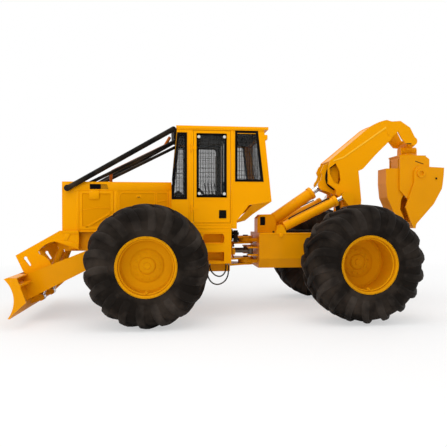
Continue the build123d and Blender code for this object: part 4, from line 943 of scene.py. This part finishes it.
@dataclass
class Wheel(Trim):
    """The rim's trim: nuts, hub cover, rings and valve.

    Attributes:
        wheel: the wheel's name.
        centre: middle of the wheel.
        disc: distance of the wheel disc's outer face from the middle plane.
        rim_half: half width of the rim.
    """

    wheel: str = ""
    centre: Vector | None = None
    disc: float = 0.0
    rim_half: float = 0.35

    def build(self) -> None:
        """Dress the rim."""
        self.bolts(f"{self.wheel}_nuts", {self.disc + 0.014: round_spots(0.178, turns(12, 0.13))},
                   RIM_YELLOW, 0.017, 0.03)
        out = Vector((0, self.sides[0], 0))
        lip = self.centre + out * (self.rim_half - 0.012)
        for name, soft, shapes in (
                ("hub_cover", 35.0, (
                    ([(0.0, 0.0), (0.0, 0.235), (0.01, 0.235), (0.014, 0.228), (0.014, 0.128),
                      (0.034, 0.112), (0.04, 0.1), (0.04, 0.052), (0.052, 0.046), (0.052, 0.0)],
                     self.centre + out * self.disc, 48),)),
                ("rim_rings", 50.0, (
                    ([(0.0, 0.374), (0.01, 0.38), (0.013, 0.388), (0.01, 0.394), (0.0, 0.396)],
                     lip - out * 0.06, 72),
                    ([(0.0, 0.43), (0.008, 0.436), (0.012, 0.433), (0.012, 0.42),
                      (0.004, 0.414)], lip, 72)))):
            draft = Draft(self.body)
            for rows, place, steps in shapes:
                draft.turned(rows, place, out, steps)
            draft.done(f"{self.wheel}_{name}", RIM_YELLOW, soft)
        foot = self.centre + Vector((0, 0, -0.365)) + out * (self.rim_half - 0.115)
        valve = Draft(self.body).rod(foot, foot + out * 0.05, 0.026, 20, 0.022, 0.004)
        valve.rod(foot + out * 0.04, foot + out * 0.075, 0.009, 12)
        valve.done(f"{self.wheel}_valve", RIM_YELLOW)


# ---------------------------------------------------------------- front frame trim
@dataclass
class Hood(Trim):
    """Pressed side panels, seams, the dark band and the top sheet's trim.

    Attributes:
        low: its lower edge.
        top: its top.
        front: its front end.
        rear: its end at the cab.
        seam: level of the seam over the side panels.
    """

    half: float = 0.56
    low: float = 1.37
    top: float = 2.16
    front: float = -1.35
    rear: float = 0.345
    seam: float = 2.022

    def build(self) -> None:
        """Make all of the hood's trim."""
        draft = self.draft()
        for left, right in ((-1.134, -1.094), (-0.548, -0.512), (0.308, 0.34)):
            draft.plate(rectangle(left, right, self.low + 0.004, self.seam), 0, 0.005, 0.002)
        for low, high, thick, bevel in ((self.low, self.low + 0.014, 0.012, 0.003),
                                        (self.seam, self.top - 0.008, 0.004, 0.002)):
            draft.plate(rectangle(self.front + 0.003, self.rear - 0.004, low, high), 0, thick,
                       bevel)
        draft.done("hood_battens", YELLOW)
        self._front_panel()
        self._rear_panel()
        self._band()
        self._top()

    def _front_panel(self) -> None:
        """The panel over the radiator and engine: border, stiffening folds and a lifting flap."""
        draft = self.draft()
        draft.frame(rectangle(-1.082, -0.566, self.low + 0.046, self.seam - 0.006), 0.04, 0,
                     0.01)
        for outline, inner, outer, bevel in (
                ([(-1.0, 1.45), (-0.97, 1.432), (-0.59, 1.66), (-0.59, 1.694)], 0, 0.01,
                 0.004),
                ([(-1.036, 1.712), (-0.8, 1.752), (-0.61, 1.74), (-0.61, 1.748),
                  (-0.8, 1.761), (-1.036, 1.722)], 0, 0.005, 0.002),
                (rectangle(-0.932, -0.78, 1.9, 2.03), 0.009, 0.02, 0.004),
                (rectangle(-0.928, -0.784, 1.886, 1.902), 0.006, 0.014, 0.003)):
            draft.plate(outline, inner, outer, bevel)
        draft.rod((-0.926, 0.016, 2.03), (-0.786, 0.016, 2.03), 0.008, 12)
        draft.done("hood_front_panels", YELLOW)
        self.bolts("hood_front_bolts", {0.01: [(x, z) for x in (-1.062, -0.586)
                                                for z in (1.436, 1.7, 1.996)]},
                   YELLOW, 0.009, 0.008)

    def _rear_panel(self) -> None:
        """The panel beside the engine, with a rounded pressed field, a strip and a latch."""
        draft = self.draft()
        draft.frame([(-0.486, 1.42), (0.092, 1.42), (0.092, 2.006), (-0.412, 2.006),
                      (-0.446, 1.992), (-0.472, 1.962), (-0.486, 1.92)], 0.018, 0, 0.007)
        draft.frame(rectangle(0.104, 0.296, 1.42, 2.006), 0.014, 0, 0.007)
        draft.plate([(0.122, 1.842), (0.286, 1.868), (0.286, 1.88), (0.122, 1.854)], 0, 0.005,
                   0.002)
        draft.plate(rectangle(-0.206, -0.132, 1.9, 1.944), 0, 0.004, 0.002)
        draft.done("hood_rear_panels", YELLOW)
        latch = rectangle(-0.192, -0.146, 1.917, 1.927)
        self.draft().plate(latch, 0.004, 0.012, 0.002).done("hood_latches", TRIM_BLACK)
        self.bolts("hood_rear_bolts", {0.006: [(-0.477, 1.6), (0.083, 1.6), (0.083, 1.98),
                                               (-0.4, 1.997), (0.111, 1.98), (0.289, 1.98)]},
                   YELLOW, 0.008, 0.007)

    def _band(self) -> None:
        """The dark band on the upper sheet, ending in bars that thin out."""
        band, bars = self.draft(self.half + 0.004), self.draft(self.half + 0.004)
        band.plate(rectangle(-0.926, -0.756, 2.044, 2.124), 0, 0.0015, 0.0)
        for k in range(6):
            low = 2.046 + k * 0.0135
            bars.plate(rectangle(-0.754, -0.64 - 0.004 * k, low, low + 0.0075), 0, 0.0015, 0.0)
        band.done("hood_band", TRIM_BLACK)
        bars.done("hood_bars", BAR_OLIVE)

    def _top(self) -> None:
        """Raised middle sheet, the radiator's filler door and the hinges."""
        draft = self.draft(0.0)
        draft.sides = (1,)
        for left, right, wide, low, high, bevel in (
                (self.front + 0.03, self.rear - 0.02, 0.14, 0.0, 0.006, 0.002),
                (-1.26, -1.05, 0.09, 0.004, 0.016, 0.004)):
            draft.plate(shift(rectangle(left, right, low, high), 0.0, self.top), -wide, wide,
                        bevel)
        draft.sides = self.sides
        for x in (-0.95, -0.15):
            draft.rod((x - 0.05, 0.145, self.top + 0.008), (x + 0.05, 0.145, self.top + 0.008),
                      0.008, 12)
        draft.done("hood_top_sheet", YELLOW)


@dataclass
class Nose(Trim):
    """Edge strips of the nose plates, head lamps, and the feet of risers and pipe."""

    half: float = 0.6

    def build(self) -> None:
        """Make the trim of the nose and of what stands on the hood."""
        draft = self.draft()
        for outline in ([(-1.364, 1.394), (-1.092, 1.394), (-1.092, 1.344), (-1.3, 1.344)],
                        [(-1.3, 1.344), (-1.212, 1.344), (-1.262, 1.236), (-1.318, 1.236)],
                        [(-1.43, 1.232), (-1.092, 1.104), (-1.092, 1.186), (-1.262, 1.236)]):
            draft.plate(outline, 0, 0.01)
        draft.done("nose_strips", YELLOW)
        for name, finish, rows in (
                ("bowls", TRIM_BLACK, [(0.0, 0.0), (0.0, 0.07), (-0.02, 0.088), (-0.026, 0.088),
                                       (-0.026, 0.076), (-0.012, 0.06), (-0.012, 0.0)]),
                ("lenses", LAMP_GLASS, [(-0.014, 0.0), (-0.018, 0.04), (-0.014, 0.068),
                                        (-0.012, 0.068), (-0.0125, 0.0)])):
            lamp = self.draft(0.0).turned(rows, (-1.322, 0.33, 1.98), (1, 0, 0), 32)
            lamp.done(f"head_lamp_{name}", finish)
        feet = self.draft(0.0).turned([(0.0, 0.0), (0.0, 0.047), (0.006, 0.05), (0.014, 0.046),
                                     (0.016, 0.0)], (-1.252, 0.642, 2.055), steps=28)
        feet.turned([(0.0, 0.0), (0.0, 0.055), (0.008, 0.055), (0.012, 0.046), (0.012, 0.0)],
                  (-0.99, 0.33, 2.158), (0, 0, 1), 24)
        feet.done("riser_feet", BLACK)
        Draft(self.body).turned([(0.0, 0.0), (0.0, 0.05), (0.012, 0.05), (0.018, 0.034),
                                 (0.03, 0.032), (0.03, 0.0)], (self.x - 0.65, -0.2, 2.16),
                                (0, 0, 1), 24).done("pipe_collar", PIPE)


@dataclass
class Door(Trim):
    """Window frame, screen, latch, grab bar, seal and lining of one door."""

    half: float = 0.74
    window = (0.738, 1.213, 1.914, 2.918)

    def build(self) -> None:
        """Make all of the door's trim."""
        outline = rectangle(*self.window)
        left, right, low, high = self.window
        frame = self.draft().frame(outline, 0.036, 0, 0.006)
        for x, turn in ((left, 0.105), (right, -0.105)):
            for z, up in ((low, 0.105), (high, -0.105)):
                frame.plate([(x, z), (x + turn, z), (x, z + up)], 0, 0.006, 0.001)
        frame.done(f"{self.body}_window_frame", TRIM_BLACK)
        self.bolts(f"{self.body}_window_bolts", {0.008: [
            (left + 0.036, high - 0.056), (right - 0.036, high - 0.053),
            (left + 0.042, low + 0.06), (right - 0.038, low + 0.056)]},
            SILVER, 0.017, 0.012, 16)
        self.screens("{}_door_screen", inset(outline, 0.02), -0.006)
        bar = self.draft().rod((1.168, -0.03, 2.16), (1.168, -0.03, 2.757), 0.01, 14)
        bar.done(f"{self.body}_grab_bar", LAMP_GLASS)
        latch = self.draft().frame(rectangle(1.092, 1.206, 1.586, 1.714), 0.012, 0, 0.008)
        latch.plate(rectangle(1.1, 1.198, 1.594, 1.706), 0, 0.003, 0.001)
        latch.plate(rectangle(1.116, 1.184, 1.628, 1.694), 0.002, 0.01)
        latch.done(f"{self.body}_latch", TRIM_BLACK)
        for name, finish, edge, width, inner, outer in (
                ("press_line", YELLOW, (0.7, 1.264, 1.519, 1.88), 0.01, 0.0, 0.003),
                ("seal", HOSE, (0.697, 1.268, 1.516, 2.958), 0.012, -0.03, -0.026)):
            self.draft().frame(rectangle(*edge), width, inner, outer).done(
                f"{self.body}_{name}", finish)
        lining = self.draft(0.0)
        for panel in ((0.704, 0.742, 1.524, 2.946), (1.209, 1.26, 1.524, 2.946),
                      (0.742, 1.209, 2.916, 2.946), (0.742, 1.209, 1.524, 1.916)):
            lining.plate(rectangle(*panel), 0.706, 0.713, 0.001)
        lining.done(f"{self.body}_lining", MATT_BLACK_AND_SHADE)


@dataclass
class Cab(Trim):
    """Window frames, screens, battens, lining, lamps and the fenders' lower faces."""

    half: float = 0.74
    glazed: float = 0.635
    front_window = ((0.35, 1.882), (0.59, 1.882), (0.59, 2.926), (0.436, 2.926),
                    (0.35, 2.075))
    front_screen = ((0.388, 1.915), (0.56, 1.915), (0.56, 2.895), (0.466, 2.895), (0.388, 2.1))
    rear_window = ((1.346, 2.166), (1.805, 2.166), (1.711, 2.97), (1.346, 2.97))

    def build(self) -> None:
        """Make all of the cab's trim."""
        frames, seals = self.draft(), self.draft()
        for window, width in ((self.front_window, 0.034), (self.rear_window, 0.03)):
            frames.frame(window, width, 0, 0.005)
            seals.frame(inset(window, 0.03), 0.008, -0.034, 0.002)
        frames.done("cab_window_frames", TRIM_BLACK)
        seals.done("cab_window_seals", HOSE)
        self.screens("{}_front_screen", self.front_screen, -0.008)
        self.screens("{}_rear_screen", inset(self.rear_window, 0.026), -0.008)
        for side in self.sides:
            Door(self.x, body=f"{SIDE_NAMES[side]}_door", sides=(side,)).build()
        self._battens()
        self._end_screen("windscreen", -1, (2.0, 0.345), (2.99, 0.435), 2.215)
        self._end_screen("rear_window", 1, (1.855, 1.935), (2.99, 1.812), 2.125)
        lamps = ((1.822, 1.867, 2.835, 2.915), 0.045, 0.008, "bowls", YELLOW), (
            (1.865, 1.871, 2.845, 2.905), 0.036, 0.002, "lenses", LAMP_GLASS)
        for edge, wide, bevel, name, finish in lamps:
            self.draft(0.69).plate(rectangle(*edge), -wide, wide, bevel).done(
                f"work_lamp_{name}", finish)
        self._fenders()

    def _battens(self) -> None:
        """Battens on posts, sill and drip rail, and dark lining inside walls and ceiling."""
        draft, lining = self.draft(), self.draft(0.0)
        for panel in ((0.612, 0.648, 1.43, 2.955), (1.286, 1.312, 1.43, 2.975),
                      (0.64, 1.288, 1.424, 1.44), (0.65, 1.284, 1.478, 1.49)):
            draft.plate(rectangle(*panel), 0, 0.005, 0.002)
        draft.plate([(0.44, 2.972), (1.806, 2.972), (1.804, 2.988), (0.44, 2.988)], 0, 0.012)
        draft.done("cab_battens", YELLOW)
        lining.sides = (1,)
        lining.plate(rectangle(0.475, 1.77, 2.94, 2.948), -0.69, 0.69, 0.002)
        lining.sides = self.sides
        for panel in ((0.602, 0.69, 1.47, 2.938), (0.392, 0.602, 1.47, 1.874),
                      (1.274, 1.342, 1.56, 2.938), (1.342, 1.72, 1.88, 2.16)):
            lining.plate(rectangle(*panel), 0.692, 0.699, 0.001)
        lining.done("cab_lining", MATT_BLACK_AND_SHADE)

    def _end_screen(self, name: str, out: int, foot: Spot, head: Spot, low: float) -> None:
        """Screen and frame over an end window that leans.

        Args:
            name: the window's name.
            out: 1 where it faces rearwards, else -1.
            foot: Z and X of a point low on its face.
            head: Z and X of a point high on its face.
            low: level of its lower edge.
        """
        half, high, rim, lip = self.glazed, 2.915, 0.03, 0.01
        lean = (head[1] - foot[1]) / (head[0] - foot[0])

        def at(y: float, z: float, off: float) -> Point:
            """Place a point on the leaning face, or off it."""
            return self.x + foot[1] + lean * (z - foot[0]) + out * off, y, z

        columns, rows = 29, math.floor((high - low) / self.wire_pitches[1]) + 1
        levels = [low + k * (high - low) / rows for k in range(1, rows)]
        wires = [(at(y, low, 0.006), at(y, high, 0.006))
                 for y in (-half + 2 * k * half / columns for k in range(1, columns))]
        wires += [(at(-half, z, 0.006), at(half, z, 0.006)) for z in levels]
        self.wires(f"{name}_screen", wires)
        border = Draft(self.body)
        for ys, zs in (((-half - rim, half + rim), (low - rim, low + lip)),
                       ((-half - rim, half + rim), (high - lip, high + rim)),
                       ((-half - rim, -half + lip), (low, high)),
                       ((half - lip, half + rim), (low, high))):
            border.hull([at(y, z, off) for z in zs for y in ys for off in (0.0, lip)])
        border.done(f"{name}_frame", TRIM_BLACK)

    def _fenders(self) -> None:
        """Sloping lower faces below the cab's rear corners."""
        draft = self.draft()
        upper = [(1.932, 1.85), (1.626, 1.8), (1.38, 1.548), (1.345, 1.526)]
        lower = [(1.88, 1.822), (1.65, 1.65), (1.526, 1.548), (1.345, 1.5)]
        for k in range(3):
            draft.hull([(x, depth, z + lift) for edge, depth in ((upper, -0.004), (lower, -0.13))
                        for x, z in edge[k:k + 2] for lift in (0.0, 0.004)])
        draft.done("cab_fender_faces", FRAME_YELLOW)


@dataclass
class Steps(Trim):
    """Lips, tread bars and edges of the two step boxes."""

    half: float = 0.74

    def build(self) -> None:
        """Make the trim of both step boxes."""
        lips, treads = self.draft(), self.draft()
        lips.frame(rectangle(0.646, 1.284, 0.872, 1.376), 0.014, 0, 0.005)
        lips.frame([(0.838, 1.236), (0.838, 1.296), (0.852, 1.328), (0.884, 1.342),
                     (1.13, 1.342), (1.162, 1.328), (1.176, 1.296), (1.176, 1.236),
                     (1.162, 1.204), (1.13, 1.189), (0.884, 1.189), (0.852, 1.204)],
                    -0.012, 0, 0.006)
        lips.frame(rectangle(0.836, 1.178, 0.901, 1.058), 0.006, 0, 0.005)
        for floor in (1.193, 0.907):
            for depth in (-0.025 - 0.026 * k for k in range(5)):
                treads.plate(rectangle(0.885, 1.13, floor, floor + 0.01), depth, depth - 0.01,
                            0.002)
        lips.done("step_box_lips", YELLOW)
        treads.done("step_treads", FRAME_YELLOW)


# ---------------------------------------------------------------- rear half trim
@dataclass
class Waist(Trim):
    """Blocks and hoses between the two frames."""

    def build(self) -> None:
        """Make the clutter round the articulation."""
        blocks = self.draft(0.345).plate(rectangle(1.37, 1.44, 1.18, 1.385), -0.045, 0.045,
                                        0.006)
        for z in (1.33, 1.24):
            blocks.rod((1.44, 0, z), (1.46, 0, z), 0.022, 16)
        blocks.done("valve_blocks", BLACK)
        hoses, lines = Draft(self.body, self.x), Draft(self.body, self.x)
        for k, (y, low) in enumerate(((-0.385, 1.12), (-0.345, 1.15), (-0.3, 1.13),
                                      (0.385, 1.13), (0.33, 1.15))):
            top = 1.34 - 0.035 * (k % 3)
            hoses.pipe([(x, y * share, z) for x, share, z in (
                (1.395, 1.0, top), (1.33, 0.98, top - 0.02), (1.292, 0.95, (top + low) / 2),
                (1.32, 0.93, low + 0.03), (1.38, 0.9, low))], 0.016)
        hoses.done("waist_hoses", HOSE)
        for s in self.sides:
            lines.pipe([(x, s * y, z) for x, y, z in (
                (1.395, 0.365, 1.21), (1.345, 0.375, 1.15), (1.335, 0.375, 1.02),
                (1.375, 0.355, 0.93))], 0.014)
        lines.done("waist_brake_lines", PIPE)


@dataclass
class RearFrame(Trim):
    """Flange lines, bosses, hoses and bolts of the rear frame and its tower."""

    half: float = 0.45
    body: str = "rear_frame"

    def build(self) -> None:
        """Make the trim of the rear frame."""
        draft = self.draft().plate(rectangle(1.8, 3.64, 1.322, 1.34), 0, 0.008)
        draft.turned([(0.0, 0.0), (0.0, 0.075), (0.01, 0.075), (0.014, 0.068), (0.014, 0.0)],
                   (3.45, 0, 1.19), steps=32)
        draft.turned([(0.0, 0.0), (0.0, 0.034), (0.02, 0.034), (0.024, 0.028), (0.024, 0.0)],
                   (2.155, 0, 1.3), steps=20)
        draft.done("rear_frame_flanges", YELLOW)
        # A thin dark sheet in each tower window: painted shade for the dark inside of the tower.
        self.draft(0.148).plate(rectangle(1.86, 1.945, 1.465, 1.61), 0, 0.0015, 0.0).done(
            "tower_windows", MATT_BLACK_AND_SHADE)
        hoses = Draft(self.body, self.x)
        for y in (-0.275, -0.235, 0.235, 0.275):
            hoses.pipe([(x, y, z) for x, z in ((2.06, 1.354), (2.24, 1.358), (2.7, 1.358),
                                               (3.04, 1.358))], 0.015)
        hoses.done("deck_hoses", HOSE)
        self.bolts("rear_frame_bolts", {
            0.0: [(x, z) for x in (1.86, 1.98, 2.62, 2.76) for z in (1.02, 1.1)],
            0.014: shift(round_spots(0.055, (0.6, 2.2, 3.75, 5.3)), 3.45, 1.19)},
            FRAME_YELLOW, 0.012, 0.012)
        self.draft(0.38).plate(rectangle(3.671, 3.69, 1.22, 1.28), -0.04, 0.04, 0.004).done(
            "tail_reflectors", TRIM_BLACK)


@dataclass
class Arch(Trim):
    """Edge strips of lighter yellow as a painted highlight, a slot shown by a thin dark sheet of
    painted shade, brackets, hoses and fasteners of the arch.
    """

    half: float = 0.25
    body: str = "arch"

    def build(self) -> None:
        """Make the trim of both side plates and the hoses between them."""
        # Thin strips of lighter yellow along the top edges: a painted highlight of light on a
        # chamfer.
        self.draft().plate([(-0.33, 1.372), (-0.14, 1.44), (0.63, 1.972), (0.615, 1.994),
                           (-0.15, 1.462), (-0.325, 1.398)], 0, 0.006).done(
            "arch_edge_strips", HIGHLIGHT_YELLOW)
        trim = self.draft().plate([(-0.205, 0.817), (-0.059, 0.766), (-0.139, 0.676)], 0, 0.016,
                                 0.004)
        trim.plate([(0.655, 1.846), (0.69, 1.842), (0.622, 1.972), (0.59, 1.975)], 0, 0.005,
                  0.002)
        trim.turned([(0.0, 0.0), (0.0, 0.095), (0.012, 0.095), (0.016, 0.088), (0.016, 0.0)],
                  (0, 0, 0), steps=36)
        trim.done("arch_brackets", YELLOW)
        # A thin dark sheet over the slot: painted shade.
        self.draft().plate(rectangle(0.995, 1.085, 1.697, 1.713), 0, 0.0015, 0.0).done(
            "arch_slots", MATT_BLACK_AND_SHADE)
        self.bolts("arch_bolts", {0.016: [(-0.126, 0.77), *round_spots(0.07, turns(6))]},
                   FRAME_YELLOW, 0.013, 0.014)
        hoses = Draft(self.body, self.x, self.z)
        for levels, radius, route in (
                ((-0.075, -0.025, 0.025, 0.075), 0.014,
                 ((-0.06, 0.12), (-0.12, 0.42), (-0.2, 0.76), (-0.26, 1.12), (-0.19, 1.34),
                  (0.05, 1.5), (0.42, 1.7), (0.64, 1.78))),
                ((-0.2, -0.16, 0.16, 0.2), 0.017,
                 ((-0.29, 0.9), (-0.395, 0.985), (-0.425, 1.12), (-0.385, 1.26),
                  (-0.27, 1.34)))):
            for y in levels:
                hoses.pipe([(x, y, z) for x, z in route], radius)
        hoses.done("arch_hoses", HOSE)


@dataclass
class Grapple(Trim):
    """A slot and a hole shown by thin dark sheets of painted shade, bolts, and the collar of the
    grapple.
    """

    half: float = 0.2
    body: str = "grapple_head"

    def build(self) -> None:
        """Make the trim of the head and the rear tong."""
        # A thin dark sheet along the slot: painted shade.
        self.draft().plate([(0.049, 2.59), (0.2, 2.541), (0.204, 2.554), (0.053, 2.603)], 0,
                          0.0015, 0.0).done("head_slots", MATT_BLACK_AND_SHADE)
        # A thin dark disc over a hole in the tong's side: painted shade.
        hole_shade = self.draft(0.0, "rear_tong")
        hole_shade.rod((0.419, 0.2475, 2.29), (0.419, 0.2492, 2.29), 0.018, 24)
        hole_shade.done("rear_tong_marks", MATT_BLACK_AND_SHADE)
        self.bolts("head_bolts", {0.0: [(x, 2.64) for x in (-0.18, -0.06, 0.12)]}, WORN_YELLOW,
                   0.012, 0.012)
        Draft(self.body).turned([(0.0, 0.128), (0.0, 0.152), (0.02, 0.152), (0.024, 0.146),
                                 (0.024, 0.128)], (self.x, 0.0, 2.716), (0, 0, 1), 40).done(
            "rotator_collar", WORN_YELLOW)


@dataclass
class Tube:
    """Gland, end rings and feed pipe of a cylinder.

    Attributes:
        name: what the cylinder is called.
        body: the body that its barrel rides on.
        base: its lower eye.
        way: the direction from the lower eye to the upper one.
        radius: radius of its barrel.
        length: distance from the lower eye to the barrel's mouth.
        pipe_side: 1 or -1, the side that its feed pipe runs on, or 0 for none.
    """

    name: str
    body: str
    base: Vector
    way: Vector
    radius: float
    length: float
    pipe_side: float = 0.0

    def build(self) -> None:
        """Make the gland ring, weld rings and feed pipe."""
        way, inner = self.way, self.radius * 0.97
        rings = Draft(self.body)
        for start, run, extra in ((self.length - 0.055, 0.045, 0.008), (0.15, 0.02, 0.004),
                                  (self.length * 0.62, 0.03, 0.003)):
            outer = self.radius + extra
            rings.turned([(start, inner), (start, outer), (start + run, outer),
                          (start + run, inner)], self.base, way, 40)
        rings.done(f"{self.name}_rings", YELLOW)
        if self.pipe_side:
            up = Vector((0.0, self.pipe_side * 0.35, 1.0))
            up = (up - way * up.dot(way)).normalized() * (self.radius + 0.014)
            run = [self.base + way * a + up * b for a, b in
                   ((0.19, 0.9), (0.23, 1.06), (self.length * 0.5, 1.08),
                    (self.length - 0.16, 1.06), (self.length - 0.11, 0.92))]
            Draft(self.body).pipe(run, 0.01).done(f"{self.name}_feed_pipe", BLACK)


# ---------------------------------------------------------------- finishing the frame's nodes
NODE_FINISH: dict[str, Finish] = {
    "engine": ENGINE, "seat": VINYL, "dashboard": MATT_BLACK_AND_SHADE, "limb_risers": BLACK,
    "exhaust_pipe": PIPE, "hose_fittings": STEEL, "frame_pins": PIN_STEEL,
    "arch_pins": PIN_STEEL, "front_grille": BLACK, "blade": WORN_YELLOW,
    "push_arms": WORN_YELLOW, "front_tong": WORN_YELLOW, "rear_tong": WORN_YELLOW,
    "grapple_head": WORN_YELLOW, "front_frame": FRAME_YELLOW, "rear_frame": FRAME_YELLOW,
    "left_hood_panels": SHADED_PANEL_YELLOW, "right_hood_panels": SHADED_PANEL_YELLOW,
    "front_axle": FRAME_YELLOW, "rear_axle": FRAME_YELLOW}


def finish_nodes(nodes: dict[str, bpy.types.Object]) -> None:
    """Give every node of the frame its finish."""
    for name, node in nodes.items():
        finish = NODE_FINISH.get(name, YELLOW)
        if "window" in name:
            finish = GLASS
        elif name.endswith(("_rod", "_rods")):
            finish = PIN_STEEL if "steering" in name else CHROME
        elif name.endswith("_rim"):
            finish = RIM_YELLOW
        elif name.endswith("_tyre"):
            finish = RUBBER
        elif name.endswith("_hose"):
            finish = HOSE
        node.data.materials.clear()
        node.data.materials.append(finish.material())


def dress_cylinders(joints: dict[str, dict]) -> None:
    """Give the arch's three cylinders their rings, glands and feed pipes."""
    for name, node, places, radius in (("lift", "lift_cylinder_barrels", (-0.395, 0.395), 0.08),
                                       ("centre", "centre_cylinder_barrel", (0.0,), 0.1)):
        way = Vector(joints[f"{name}_cylinder_stroke"]["axis"])
        way *= math.copysign(1.0, way.x)
        base = Vector(joints[f"{name}_cylinder_swing"]["pos_m"])
        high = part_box(node)[1]
        length = (high.x - base.x - radius * way.z) / way.x
        for y in places:
            Tube(f"{name}_cylinder{'_right' if y > 0 else ''}", f"{name}_cylinder_barrel",
                 Vector((base.x, y, base.z)), way, radius, length,
                 math.copysign(1.0, y) if y else 0.0).build()


def main() -> None:
    """Build the whole model around the frame."""
    logging.basicConfig(level=logging.WARNING, format="%(name)s: %(message)s")
    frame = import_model()
    joints = {joint["name"]: joint for joint in frame["joints"]}
    axle = joints["front_left_wheel_spin"]["pos_m"][0]
    pivot, swivel = joints["arch_tilt"]["pos_m"], joints["grapple_rotation"]["pos_m"]
    finish_nodes(frame["nodes"])
    Studio((axle + 0.407, -7.907, 1.597)).build()
    for trim in (Hood(axle), Nose(axle), Cab(axle), Steps(axle), Waist(axle), RearFrame(axle),
                 Arch(pivot[0], pivot[2]), Grapple(swivel[0])):
        trim.build()
    dress_cylinders(joints)
    FreeHose("outer_hose", ((1.256, .832), (1.256, .765), (1.248, .655), (1.19, .562),
                            (1.085, .515), (.985, .548), (.925, .640), (.910, .750),
                            (.910, .832)), -0.62, 0.7955).build(axle)
    FreeHose("inner_hose", ((1.222, .832), (1.222, .775), (1.205, .700), (1.14, .640),
                            (1.055, .655), (.990, .715), (.958, .778), (.958, .832)),
             -0.56, 0.51).build(axle)
    for end, disc in (("front", 0.08), ("rear", -0.15)):
        for side, name in SIDE_NAMES.items():
            wheel = f"{end}_{name}"
            centre = Vector(joints[f"{wheel}_wheel_spin"]["pos_m"])
            low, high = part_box(f"{wheel}_tyre")
            Tyre(wheel, centre, (high.z - low.z) / 2, (high.y - low.y) / 2).build()
            Wheel(centre.x, centre.z, abs(centre.y), f"{wheel}_wheel", (side,), wheel, centre,
                  disc).build()


if __name__ == "__main__":
    main()
